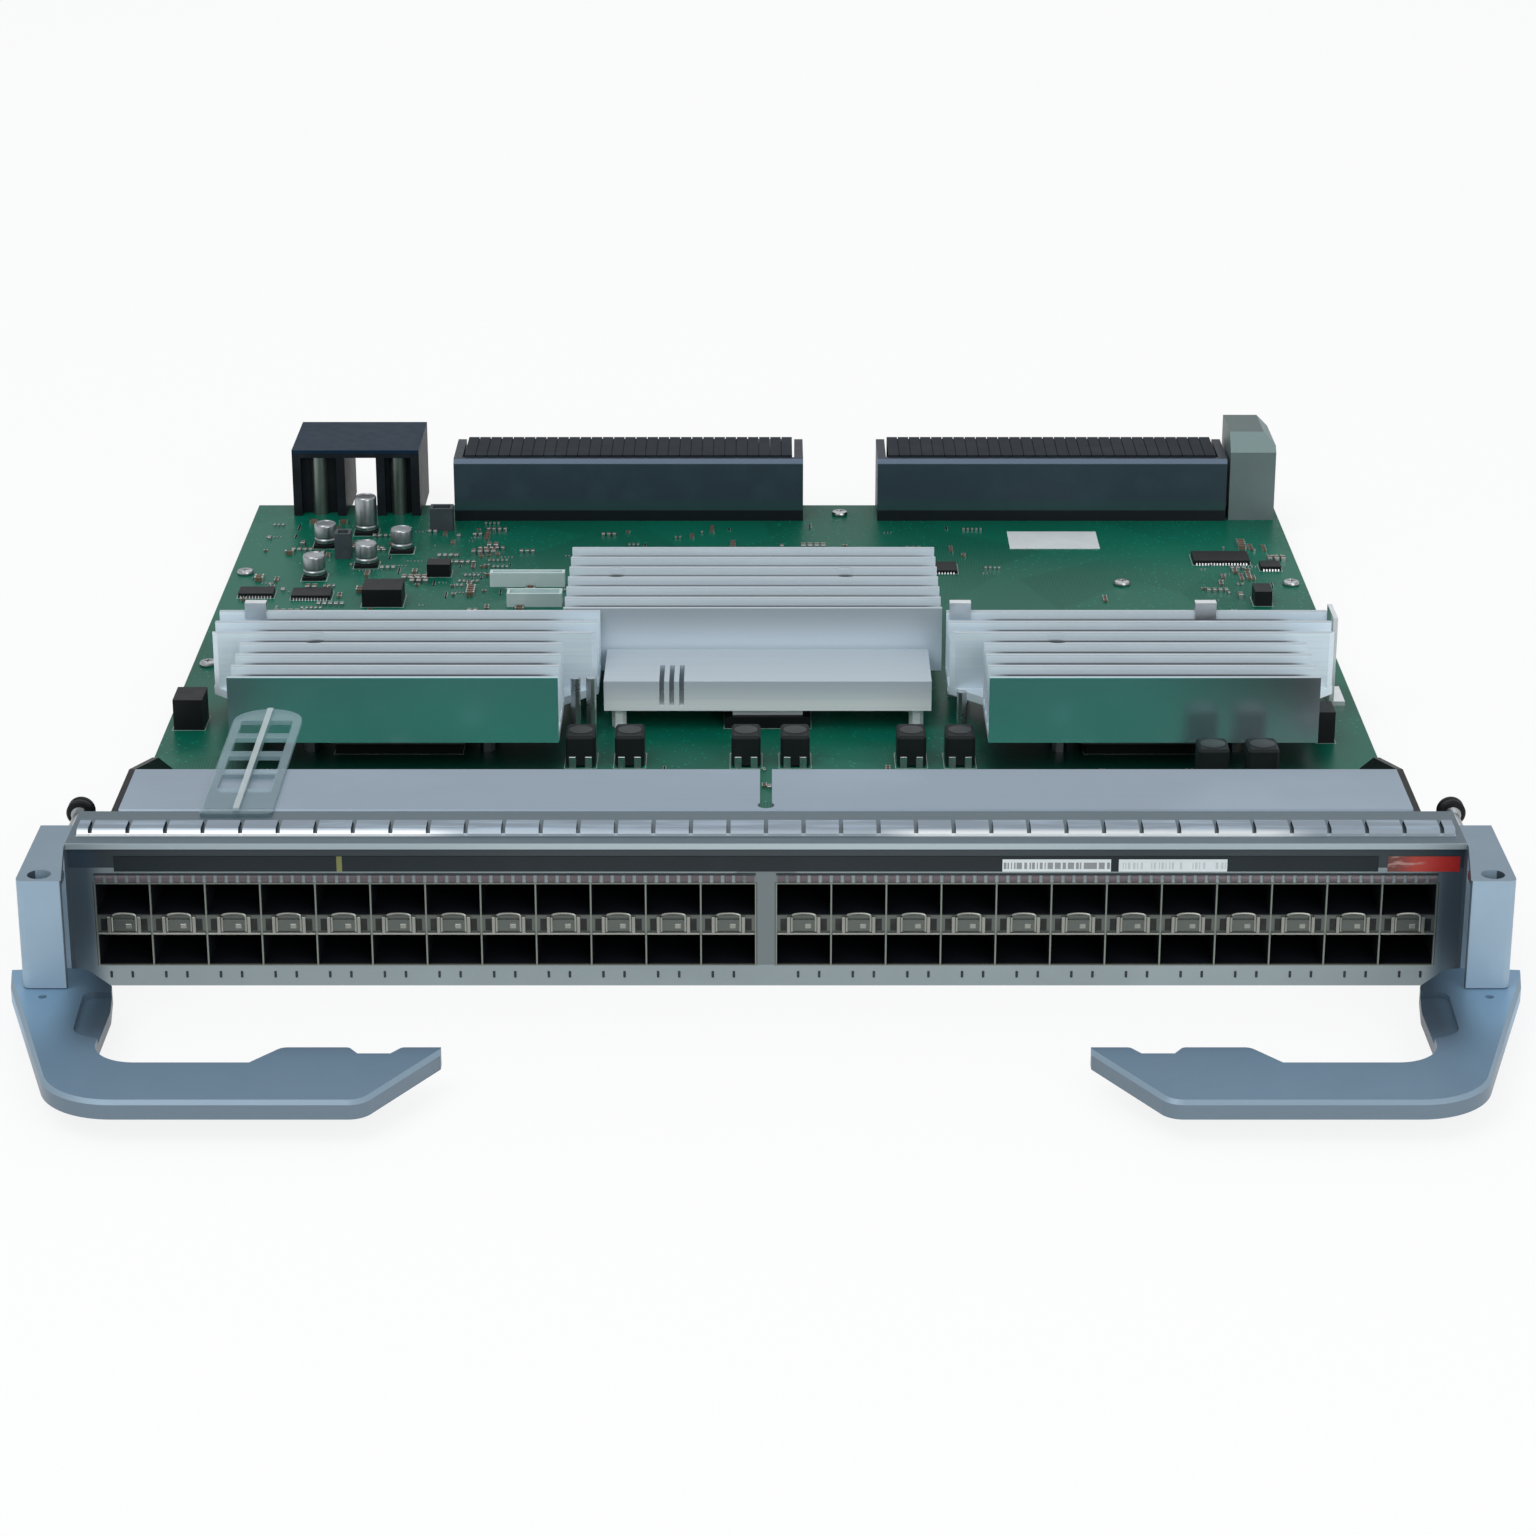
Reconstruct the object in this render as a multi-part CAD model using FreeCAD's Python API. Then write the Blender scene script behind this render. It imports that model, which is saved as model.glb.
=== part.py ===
"""Switch line card: stacked rows of pluggable ports on a board with heatsinks, and two ejector levers.

Millimetres. +X is to the right, +Y runs back towards the chassis backplane, +Z is up.
The origin is in the middle of the underside, under the rear face of the front panel's sheet.
Left and right are as seen from in front of the panel.
"""
import FreeCAD, Part
import math
import os

V = FreeCAD.Vector

# ---- front panel ----
panel_width = 360.0
panel_end = 6.2
face_band = 12.1
panel_sheet = 1.2
top_flange_depth = 18.8
top_flange_thick = 1.2
bottom_flange_depth = 18.0
side_flange_depth = 8.0
lip_reach = 3.0
lip_height = 1.5

# ---- tray, board and their fasteners ----
tray_sheet = 1.2
tray_lap = 12.0
joggle_gap = 0.3
joggle_run = 0.9
standoff_height = 2.0
standoff_radius = 3.0
board_overhang = 2.0
board_thick = 2.4
board_front = 2.0
board_rear = 409.8
board_notch_depth = 18.0
board_notch_gap = 0.5
screw_radius = 1.5
screw_clearance = 0.1
screw_head_radius = 2.8
screw_head_height = 1.6
screw_tip_gap = 0.4
shank_sides = 6
head_sides = 8
round_sides = 16
rivet_radius = 1.5
rivet_head_radius = 2.4
rivet_head_height = 0.6
rivet_count = 6
rivet_pitch = 60.0
rivet_line = 12.0

# ---- stacked port cages ----
port_width = 13.85
port_height = 8.7
cage_wall = 0.4
cage_skin = 0.3
mid_bar_height = 5.3
cage_depth = 48.0
gang_gap = 5.3
window_gap = 0.15
pipe_width = 1.7
pipe_height = 3.4
pipe_spacing = 10.4
pipe_length = 30.0
latch_width = 6.6
latch_height = 3.0
latch_proud = 0.5
connector_depth = 8.5
connector_side_gap = 0.15
nose_reach = 5.0
nose_height = 4.3
nose_lift = 2.2

# ---- spring strips and labels ----
springs_per_port = 5
spring_rise = 0.5
spring_base = 0.15
spring_height = 2.6
finger_pitch = 9.7
finger_slit = 1.1
finger_sheet = 0.25
finger_front = 0.8
finger_base = 1.5
finger_ramp = 1.1
finger_flat = 5.5
finger_rise = 1.2
finger_strip_inset = 2.0
label_thick = 0.2
strip_label_lift = 3.3
strip_label_height = 4.2
strip_label_inset = 11.7
red_label_inset = 1.0
red_label_length = 18.6
red_label_gap = 2.4
white_label_insets = (105.0, 75.0)
white_label_length = 28.0
white_label_height = 3.4

# ---- cover and its side gussets ----
cover_sheet = 1.0
cover_rear = 49.8
cover_tongue = 6.8
cover_joggle = 1.4
cover_joggle_start = 19.0
cover_lip = 6.0
cover_inset = 10.0
slot_width = 3.2
slot_end = 21.0
slot_end_radius = 2.2
gusset_sheet = 1.7
gusset_foot_width = 8.0
gusset_foot_thick = 1.2
gusset_foot_start = 66.0
gusset_foot_end = 112.0
foot_screw_inset = 8.0
gusset_tail = 117.0
gusset_toe_run = 6.0
gusset_toe_height = 18.0
gusset_knee = 88.0
gusset_knee_height = 30.0
gusset_heel = 58.0
gusset_cage_gap = 0.5

# ---- heatsinks ----
sink_top = 34.0
sink_bottom = 13.8
sink_base = 2.5
fin_thick = 1.6
fin_pitch = 10.2
fin_count = 7
side_sink_front = 143.3
side_sink_step = 176.0
side_sink_shoulder = 10.0
# the left and the right one: gap to the board's side, and gap to the low block in the middle
side_sink_edge_gaps = (14.0, 9.5)
side_sink_middle_gaps = (2.0, 5.5)
centre_sink_front = 207.5
centre_sink_centre = -4.1
centre_sink_width = 116.8
pedestal_size = 40.0
package_size = 37.5
package_height = 3.5
post_radius = 2.2
fin_relief_radius = 5.0
side_screw_reach = 26.3
centre_screw_left = -43.2
centre_screw_right = 29.3
spreader_left = -49.0
spreader_right = 50.0
spreader_front = 175.8
spreader_rear = 205.8
spreader_bottom = 12.0
spreader_top = 21.4
spreader_slot = 1.5
spreader_slot_run = 15.0
spreader_slot_floor = 1.5
spreader_slot_spots = (-31.5, -28.5, -25.5)
clip_sheet = 0.8
clip_width = 6.5
clip_rise = 3.0
clip_hook = 2.0
clip_foot = 7.0
# in from the left sink's left end, the right sink's left end and the right sink's right end
clip_insets = (11.2, 4.2, 37.4)
baffle_sheet = 1.4
baffle_gap = 1.8
baffle_front = 198.0
baffle_depth = 14.0

# ---- parts at the backplane edge ----
backplane_power_gap = 12.7
backplane_middle_gap = 26.3
backplane_guide_gap = 1.2
backplane_overhang = 7.0
backplane_depth = 26.0
backplane_height = 22.6
backplane_wall = 3.0
backplane_floor = 1.5
backplane_chamfer = 1.5
wafer_pitch = 4.0
wafer_slit = 0.3
wafer_rise = 0.8
power_inset = 14.0
power_width = 45.0
power_overhang = 24.0
power_depth = 37.0
power_top = 29.8
power_bridge = 2.8
power_leg = 18.6
power_window = 11.1
power_recess_depth = 4.0
power_recess_wall = 3.0
contact_radius = 3.0
blade_thick = 1.6
blade_spacing = 5.0
guide_inset = 2.0
guide_width = 16.0
guide_overhang = 10.0
guide_depth = 28.0
guide_top = 36.4
guide_step = 6.0
guide_chamfer = 4.0
guide_bore_radius = 4.0
guide_bore_depth = 22.0
guide_bore_height = 20.0

# ---- parts on the board: centre x, front y, width, depth, height ----
inductors = (
    (-54.8, 144.0, 8.6, 12.0, 10.0), (-40.3, 144.0, 8.6, 12.0, 10.0),
    (-5.9, 144.0, 8.6, 12.0, 10.0), (8.6, 144.0, 8.6, 12.0, 10.0),
    (43.0, 144.0, 8.6, 12.0, 10.0), (57.4, 144.0, 8.6, 12.0, 10.0),
    (129.7, 122.0, 9.0, 11.0, 14.0), (144.1, 122.0, 9.0, 11.0, 14.0),
)
inductor_chamfer = 0.8
# side parts are placed from the board's left or right side: centre to that side, front y and so on
left_relays = ((7.0, 176.4, 9.0, 12.0, 9.6),)
right_relays = ((13.8, 165.1, 5.1, 10.0, 9.8),)
# rear parts have the distance from their front face to the board's rear edge in place of y
left_chips = (
    (30.2, 108.2, 13.0, 8.5, 1.6), (54.7, 115.6, 13.2, 12.0, 6.0), (11.6, 106.1, 11.6, 7.5, 1.6),
    (70.9, 83.4, 7.8, 7.0, 4.4),
)
right_chips = ((25.9, 70.1, 19.1, 11.0, 1.6), (9.9, 76.8, 6.8, 6.7, 1.6), (17.0, 114.5, 5.7, 9.0, 5.0))
middle_chips = ((0.0, 109.8, 14.0, 14.0, 1.2), (60.0, 79.8, 10.0, 10.0, 1.2), (-30.0, 64.8, 8.0, 12.0, 1.2))
left_headers = ((67.9, 31.1, 8.0, 6.0, 8.1), (36.5, 63.4, 5.5, 6.0, 9.0))
middle_headers = ((-80.3, 94.3, 25.2, 4.0, 4.9), (-76.8, 115.6, 18.3, 6.0, 4.6))
header_wall = 1.0
header_pocket = 2.5
# centre to the left side, centre to the rear edge, height
left_cans = (
    (41.7, 32.8, 13.4), (45.3, 70.3, 8.2), (29.0, 47.8, 8.2), (56.0, 53.8, 8.2), (29.0, 83.8, 8.2),
)
can_radius = 3.9
can_base = 1.4
# upright posts between the heatsinks: centre x, centre y, height
posts = ((-57.3, 172.0, 18.4), (-52.6, 172.0, 18.4), (59.0, 172.0, 14.0))
post_rod_radius = 1.5
# board screws: along both sides, across the middle, and towards the rear edge
side_screws = ((4.4, 27.0), (5.0, 131.0), (5.0, 236.0))
middle_screws = ((-90.0, 100.0), (0.0, 100.0), (90.0, 100.0))
left_rear_screws = ((5.0, 79.8),)
right_rear_screws = ((5.0, 91.8),)
rear_screws = ((-20.0, 91.8), (120.0, 91.8))
last_screw_back = 11.8
board_label_left = 84.6
board_label_back = 52.0
board_label_length = 31.2
board_label_depth = 19.7

# ---- clear tag on the cover ----
tag_inset = 22.0
tag_width = 19.0
tag_front = 14.0
tag_length = 80.0
tag_thick = 1.2
tag_rib = 1.6
tag_rib_height = 1.0
tag_window_depth = 10.0
tag_windows = 4
tag_bridge = 4.0
tag_frame = 2.4
tag_end_gap = 0.1

# ---- end brackets, pivots and levers ----
bracket_out = 8.4
bracket_inset = 3.2
bracket_reach = 29.2
bracket_step = 6.2
bracket_rear = 8.8
bracket_wall = 2.0
bracket_corner = 2.0
bracket_nose = 0.6
bracket_screw_drops = (24.0, 10.0)
ear_thick = 2.0
ear_radius = 4.5
ear_neck_inset = 2.0
lever_gap = 0.3
lever_top = 11.4
arm_thick = 4.8
pivot_out = 3.0
pivot_ahead = 24.7
pivot_radius = 3.0
pivot_clearance = 0.05
pivot_column_radius = 4.5
pivot_recess = 3.0
pocket_depth = 16.0
lever_reach = 94.5
lever_span = 103.4
arm_width = 21.8
arm_shell = 2.0
arm_pocket = 2.6
arm_pocket_start = 14.0
arm_pocket_inset = 3.7
lever_edge = 1.0
recess_depth = 1.6
lever_hole_radius = 1.15
lever_hole_in = 0.5
lever_hole_ahead = 9.1
hub_radius = 8.0
# the outer corner and the elbow of the arm: distance in from the pivot and corner radius
arm_shoulder = (12.2, 20.0)
arm_elbow = (18.3, 11.0)
# corners round the hub and claw: distance out from the pivot, distance behind it, radius
claw_corners = ((-18.5, -15.0, 20.0), (-17.0, -2.5, 0.0), (-9.0, 8.0, 4.0), (0.0, 9.5, 6.0), (6.0, 8.0, 0.0),
                (10.2, 7.6, 0.0), (8.9, -1.5, 0.0))
# corners of the tapered tip and finger grip: distance from the tip, distance behind the arm, radius
grip_corners = ((0.0, 6.1, 0.0), (0.0, 8.7, 0.0), (9.6, 8.7, 1.5), (12.1, 5.2, 0.0), (20.2, 5.2, 0.0),
                (22.5, 8.7, 1.5), (39.0, 8.7, 3.0), (46.0, 0.0, 0.0))
tip_taper = 16.5
tip_taper_radius = 6.0
# the hollow under the arm runs between these distances from the tip
hollow_front = 17.5
hollow_back = 8.0
# sunk pad beside the hub: distance out from the pivot, distance behind it, radius
pad_corners = ((-22.0, -6.0, 0.0), (-10.5, -6.0, 3.0), (-11.5, -31.0, 6.0), (-22.0, -36.0, 0.0))

# ---- captive screws ----
captive_out = 3.0
captive_drop = 7.2
captive_radius = 1.5
captive_clearance = 0.1
knob_radius = 3.1
knob_length = 6.0
knob_seat_gap = 0.2
knob_slot = 0.9
captive_tip = 42.0
ring_radius = 3.7
ring_length = 4.0
ring_start = 35.0
collar_radius = 2.3
collar_length = 0.8
ring_clearance = 0.05

# ---- places that follow from the sizes ----
panel_half = panel_width / 2
panel_front = -panel_sheet
board_half = panel_half + board_overhang
board_bottom = tray_sheet + standoff_height
board_top = board_bottom + board_thick
port_pitch = port_width + cage_wall
spring_pitch = port_pitch / springs_per_port
gang_start = gang_gap / 2
columns = int((panel_half - panel_end - gang_start) / port_pitch)
gang_length = columns * port_pitch
lower_floor = board_top + cage_skin
lower_ceiling = lower_floor + port_height
upper_floor = lower_ceiling + mid_bar_height
upper_ceiling = upper_floor + port_height
cage_top = upper_ceiling + cage_skin
cage_rear = panel_front + cage_depth
connector_front = cage_rear - cage_skin - connector_depth
card_height = cage_top + face_band
flange_underside = card_height - top_flange_thick
strip_label_bottom = cage_top + strip_label_lift
cover_half_width = panel_half - cover_inset
red_label_start = panel_half - red_label_inset - red_label_length
fin_gap_middle = fin_thick + (fin_pitch - fin_thick) / 2
sink_depth = (fin_count - 1) * fin_pitch + fin_thick
left_sink_start = side_sink_edge_gaps[0] - board_half
left_sink_end = spreader_left - side_sink_middle_gaps[0]
right_sink_start = spreader_right + side_sink_middle_gaps[1]
right_sink_end = board_half - side_sink_edge_gaps[1]
side_sink_centres = ((left_sink_start + left_sink_end) / 2, (right_sink_start + right_sink_end) / 2)
power_left = power_inset - board_half
power_right = power_left + power_width
power_window_left = power_left + power_leg
power_window_right = power_window_left + power_window
power_rear = board_rear + power_overhang
power_front = power_rear - power_depth
guide_right = board_half - guide_inset
guide_left = guide_right - guide_width
guide_rear = board_rear + guide_overhang
guide_front = guide_rear - guide_depth
backplane_start = power_right + backplane_power_gap
backplane_end = guide_left - backplane_guide_gap
backplane_length = (backplane_end - backplane_start - backplane_middle_gap) / 2
backplane_centres = (backplane_start + backplane_length / 2, backplane_end - backplane_length / 2)
backplane_rear = board_rear + backplane_overhang
backplane_front = backplane_rear - backplane_depth
lever_bottom = lever_top - arm_thick
hub_bottom = ear_thick + lever_gap
bracket_floor = lever_top + lever_gap
pivot_x = panel_half + pivot_out
pivot_y = -pivot_ahead
captive_x = panel_half + captive_out
captive_height = card_height - captive_drop
knob_rear = -bracket_step - knob_seat_gap


# ---- shared shape helpers ----
def block(x0, x1, y0, y1, z0, z1):
    """Box between two corners."""
    return Part.makeBox(x1 - x0, y1 - y0, z1 - z0, V(x0, y0, z0))


def rod(radius, x, y, z0, z1):
    """Upright cylinder."""
    return Part.makeCylinder(radius, z1 - z0, V(x, y, z0))


def rim(radius, sides, a, b):
    """Corners of a regular outline round a centre."""
    turns = [2 * math.pi * i / sides for i in range(sides)]
    return [(a + radius * math.cos(turn), b + radius * math.sin(turn)) for turn in turns]


def prism(radius, sides, x, y, z0, z1):
    """Upright prism for a small fastener or its hole, so that the many repeats stay light."""
    return plan_profile(rim(radius, sides, x, y), z0, z1)


def shank(x, y, z0, z1, gap=0.0):
    """Screw or rivet shank, or with a gap the hole that it passes through."""
    return prism(screw_radius + gap, shank_sides, x, y, z0, z1)


def rod_y(radius, x, z, y0, y1):
    """Cylinder lying along Y."""
    return Part.makeCylinder(radius, y1 - y0, V(x, y0, z), V(0, 1, 0))


def side_profile(points, x0, x1):
    """Extrude a closed (y, z) outline along X."""
    wire = Part.makePolygon([V(x0, y, z) for y, z in points + points[:1]])
    return Part.Face(wire).extrude(V(x1 - x0, 0, 0))


def plan_profile(points, z0, z1):
    """Extrude a closed (x, y) outline upwards."""
    wire = Part.makePolygon([V(x, y, z0) for x, y in points + points[:1]])
    return Part.Face(wire).extrude(V(0, 0, z1 - z0))


def rounded_face(corners, z):
    """Flat face inside (x, y, radius) corners, each rounded with a tangent arc."""
    arcs = []
    for i, (x, y, radius) in enumerate(corners):
        here = V(x, y, z)
        towards_last = (V(corners[i - 1][0], corners[i - 1][1], z) - here).normalize()
        after = corners[(i + 1) % len(corners)]
        towards_next = (V(after[0], after[1], z) - here).normalize()
        half_angle = towards_last.getAngle(towards_next) / 2
        bisector = (towards_last + towards_next).normalize()
        reach = radius / math.tan(half_angle)
        middle = here + bisector * (radius / math.sin(half_angle) - radius)
        arcs.append((here + towards_last * reach, middle, here + towards_next * reach))
    edges = []
    for i, (start, middle, end) in enumerate(arcs):
        last_end = arcs[i - 1][2]
        if (start - last_end).Length > 1e-6:
            edges.append(Part.LineSegment(last_end, start).toShape())
        if (end - start).Length > 1e-6:
            edges.append(Part.Arc(start, middle, end).toShape())
    return Part.Face(Part.Wire(edges))


def prism_y(radius, sides, x, z, y0, y1):
    """Prism lying along Y, for the round parts of a screw that nothing turns in."""
    corners = [V(a, y0, b) for a, b in rim(radius, sides, x, z)]
    return Part.Face(Part.makePolygon(corners + corners[:1])).extrude(V(0, y1 - y0, 0))


def bent_sheet(path, thick):
    """Outline of a folded sheet: the path is one skin, and the sheet lies to the left of it."""
    normals = []
    for (y0, z0), (y1, z1) in zip(path, path[1:]):
        run = math.hypot(y1 - y0, z1 - z0)
        normals.append(((z0 - z1) / run, (y1 - y0) / run))
    inner = []
    for i, (y, z) in enumerate(path):
        a = normals[max(i - 1, 0)]
        b = normals[min(i, len(normals) - 1)]
        share = thick / (1 + a[0] * b[0] + a[1] * b[1])
        inner.append((y + (a[0] + b[0]) * share, z + (a[1] + b[1]) * share))
    return path + inner[::-1]


def from_left(rows):
    """Table rows with the distance to the board's left side turned into X."""
    return [(inset - board_half,) + tuple(rest) for inset, *rest in rows]


def from_right(rows):
    """Table rows with the distance to the board's right side turned into X."""
    return [(board_half - inset,) + tuple(rest) for inset, *rest in rows]


def from_rear(rows):
    """Table rows with the distance to the board's rear edge turned into Y."""
    return [(x, board_rear - back) + tuple(rest) for x, back, *rest in rows]


def mirrored(shape):
    """The same piece for the other side of the card."""
    return shape.mirror(V(0, 0, 0), V(1, 0, 0))


def group(shapes):
    """Separate like solids in one piece."""
    return Part.makeCompound(shapes)


def joined(first, others):
    """One solid from touching or overlapping shapes."""
    return first.fuse(others).removeSplitter()


# ---- panel, tray and board ----
def bracket_screw_spots():
    """Heights of the screws that hold each bracket to the panel's side flange."""
    return [captive_height - drop for drop in bracket_screw_drops]


def bracket_shank(height, x0, x1):
    """Shank of a bracket screw on the right, or its hole, lying along X."""
    return side_profile(rim(screw_radius, shank_sides, side_flange_depth / 2, height), x0, x1)


def front_panel():
    """Extruded faceplate: bottom flange, face with two port windows, top flange and front lip."""
    section = [
        (panel_front, 0.0), (bottom_flange_depth, 0.0), (bottom_flange_depth, tray_sheet),
        (0.0, tray_sheet), (0.0, flange_underside), (top_flange_depth, flange_underside),
        (top_flange_depth, card_height), (panel_front - lip_reach, card_height),
        (panel_front - lip_reach, card_height - lip_height), (panel_front, card_height - lip_height),
    ]
    panel = side_profile(section, -panel_half, panel_half)
    sides = []
    cuts = []
    for side in (-1, 1):
        outer = side * panel_half
        inner = side * (panel_half - panel_sheet)
        sides.append(block(min(outer, inner), max(outer, inner), -panel_sheet / 2, side_flange_depth,
                           tray_sheet / 2, flange_underside + top_flange_thick / 2))
        near = gang_start - cage_wall / 2 - window_gap
        far = gang_start + gang_length + cage_wall / 2 + window_gap
        cuts.append(block(min(side * near, side * far), max(side * near, side * far),
                          panel_front - 1, 1, board_top, cage_top + window_gap))
        for height in bracket_screw_spots():
            hole = bracket_shank(height, panel_half - 2 * panel_sheet, panel_half + 1)
            cuts.append(hole if side > 0 else mirrored(hole))
    for x in rivet_places():
        cuts.append(prism(rivet_radius, shank_sides, x, rivet_line, -1, tray_sheet + 1))
    return joined(panel, sides).cut(cuts)


def rivet_places():
    """X of each rivet that holds the tray to the panel's bottom flange."""
    first = -(rivet_count - 1) / 2 * rivet_pitch
    return [first + i * rivet_pitch for i in range(rivet_count)]


def board_screw_spots():
    """Places of the screws that hold the board down; the last is between the backplane connectors."""
    spots = from_left(side_screws) + from_right(side_screws) + list(middle_screws)
    last = (backplane_start + backplane_length + backplane_middle_gap / 2, last_screw_back)
    rear = from_left(left_rear_screws) + from_right(right_rear_screws) + list(rear_screws) + [last]
    return spots + from_rear(rear)


def carrier_tray():
    """Sheet tray under the board, lapped over the panel's bottom flange, with standoffs for the board."""
    lap_start = bottom_flange_depth - tray_lap
    knee = bottom_flange_depth + joggle_gap
    skin = [(lap_start, tray_sheet), (knee, tray_sheet), (knee + joggle_run, 0.0), (board_rear, 0.0)]
    tray = side_profile(bent_sheet(skin, tray_sheet), -board_half, board_half)
    trims = []
    for side in (-1, 1):
        near = side * (panel_half - panel_sheet - board_notch_gap)
        far = side * (board_half + 1)
        trims.append(block(min(near, far), max(near, far), 0, board_notch_depth, -1, 2 * tray_sheet + 1))
    posts = [prism(standoff_radius, head_sides, x, y, 0.0, board_bottom) for x, y in board_screw_spots()]
    holes = [shank(x, y, screw_tip_gap, board_bottom + 1) for x, y in board_screw_spots()]
    holes += [prism(rivet_radius, shank_sides, x, rivet_line, -1, 2 * tray_sheet + 1) for x in rivet_places()]
    return joined(tray.cut(trims), posts).cut(holes)


def tray_rivets():
    """Low-head rivets through the tray and the panel flange."""
    rivets = []
    for x in rivet_places():
        body = prism(rivet_radius, shank_sides, x, rivet_line, 0.0, 2 * tray_sheet)
        head = prism(rivet_head_radius, head_sides, x, rivet_line, 2 * tray_sheet,
                     2 * tray_sheet + rivet_head_height)
        rivets.append(joined(body, [head]))
    return group(rivets)


def main_board():
    """Circuit board with notched front corners and a clearance hole at each screw."""
    notch = panel_half - panel_sheet - board_notch_gap
    outline = [
        (-notch, board_front), (notch, board_front), (notch, board_notch_depth),
        (board_half, board_notch_depth), (board_half, board_rear), (-board_half, board_rear),
        (-board_half, board_notch_depth), (-notch, board_notch_depth),
    ]
    board = plan_profile(outline, board_bottom, board_top)
    spots = board_screw_spots() + foot_screw_spots()
    return board.cut([shank(x, y, 0, board_top + 1, screw_clearance) for x, y in spots])


def pan_screw(x, y, seat, tip):
    """Pan-head screw standing on a seat height, with its shank down to the tip height."""
    head = prism(screw_head_radius, head_sides, x, y, seat, seat + screw_head_height)
    return joined(shank(x, y, tip, seat), [head])


def board_screws():
    """Screws that hold the board to the tray's standoffs."""
    return group([pan_screw(x, y, board_top, screw_tip_gap) for x, y in board_screw_spots()])


def foot_screw_spots():
    """Places of the screws through the gusset feet."""
    x = cover_half_width - gusset_foot_width / 2
    ends = (gusset_foot_start + foot_screw_inset, gusset_foot_end - foot_screw_inset)
    return [(side * x, y) for side in (-1, 1) for y in ends]


def gusset_screws():
    """Screws that hold the gusset feet to the board."""
    seat = board_top + gusset_foot_thick
    return group([pan_screw(x, y, seat, board_bottom) for x, y in foot_screw_spots()])


# ---- stacked port cages, built for the right gang ----
def column_start(i):
    """X of the divider line at the left of column i, counted from the card's middle."""
    return gang_start + i * port_pitch


def cage_shell():
    """Folded cover of one gang: roof, two sides and rear wall."""
    x0 = gang_start - cage_wall / 2
    x1 = gang_start + gang_length + cage_wall / 2
    outer = block(x0, x1, panel_front, cage_rear, board_top, cage_top)
    inner = block(x0 + cage_wall, x1 - cage_wall, panel_front - 1, cage_rear - cage_skin,
                  board_top - 1, upper_ceiling)
    return outer.cut(inner)


def cage_floor():
    """Floor sheet of one gang, flat on the board."""
    x0 = gang_start + cage_wall / 2
    x1 = gang_start + gang_length - cage_wall / 2
    return block(x0, x1, panel_front, cage_rear - cage_skin, board_top, lower_floor)


def cage_dividers():
    """Walls between the columns of one gang."""
    walls = []
    for i in range(1, columns):
        x = column_start(i)
        walls.append(block(x - cage_wall / 2, x + cage_wall / 2, panel_front, cage_rear - cage_skin,
                           lower_floor, upper_ceiling))
    return group(walls)


def pipe_places(i):
    """X of the two light-pipe windows in column i."""
    middle = column_start(i) + port_pitch / 2
    return (middle - pipe_spacing / 2, middle + pipe_spacing / 2)


def cage_mid_bars():
    """Channel between the upper and lower port of each column, with light windows and a latch boss."""
    middle = (lower_ceiling + upper_floor) / 2
    bars = []
    for i in range(columns):
        x0 = column_start(i) + cage_wall / 2
        x1 = x0 + port_width
        bar = block(x0, x1, panel_front, connector_front, lower_ceiling, upper_floor)
        hollow = block(x0 - 1, x1 + 1, panel_front + cage_skin, connector_front + 1,
                       lower_ceiling + cage_skin, upper_floor - cage_skin)
        windows = [block(x - pipe_width / 2, x + pipe_width / 2, panel_front - 1, panel_front + 1,
                         middle - pipe_height / 2, middle + pipe_height / 2) for x in pipe_places(i)]
        centre = (x0 + x1) / 2
        half = latch_width / 2
        front = panel_front - latch_proud
        boss = plan_profile([(centre - half, panel_front), (centre - half + latch_proud, front),
                             (centre + half - latch_proud, front), (centre + half, panel_front)],
                            middle - latch_height / 2, middle + latch_height / 2)
        bars.append(joined(bar.cut([hollow] + windows), [boss]))
    return group(bars)


def light_pipes():
    """Clear rods that carry the port lights to the windows, for one gang."""
    middle = (lower_ceiling + upper_floor) / 2
    pipes = []
    for i in range(columns):
        for x in pipe_places(i):
            pipes.append(block(x - pipe_width / 2, x + pipe_width / 2, panel_front, panel_front + pipe_length,
                               middle - pipe_height / 2, middle + pipe_height / 2))
    return pipes


def port_connectors():
    """Moulded connector at the back of each column, with a nose for each port."""
    rear = cage_rear - cage_skin
    tip = connector_front - nose_reach
    section = [(rear, lower_floor), (rear, upper_ceiling), (connector_front, upper_ceiling)]
    for floor in (upper_floor, lower_floor):
        low = floor + nose_lift
        section += [(connector_front, low + nose_height), (tip, low + nose_height), (tip, low),
                    (connector_front, low)]
    section.append((connector_front, lower_floor))
    blocks = []
    for i in range(columns):
        x0 = column_start(i) + cage_wall / 2 + connector_side_gap
        blocks.append(side_profile(section, x0, x0 + port_width - 2 * connector_side_gap))
    return group(blocks)


# ---- spring strips and labels on the panel ----
def port_emi_springs():
    """Pleated spring strip above each gang's upper ports."""
    low = cage_top + window_gap
    strips = []
    for side in (-1, 1):
        count = columns * springs_per_port
        back = panel_front - spring_base
        points = [(gang_start, panel_front)]
        for i in range(count):
            x = gang_start + i * spring_pitch
            points += [(x, back), (x + spring_pitch / 2, back - spring_rise)]
        points += [(gang_start + gang_length, back), (gang_start + gang_length, panel_front)]
        strip = plan_profile(points, low, low + spring_height)
        strips.append(strip if side > 0 else mirrored(strip))
    return group(strips)


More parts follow.
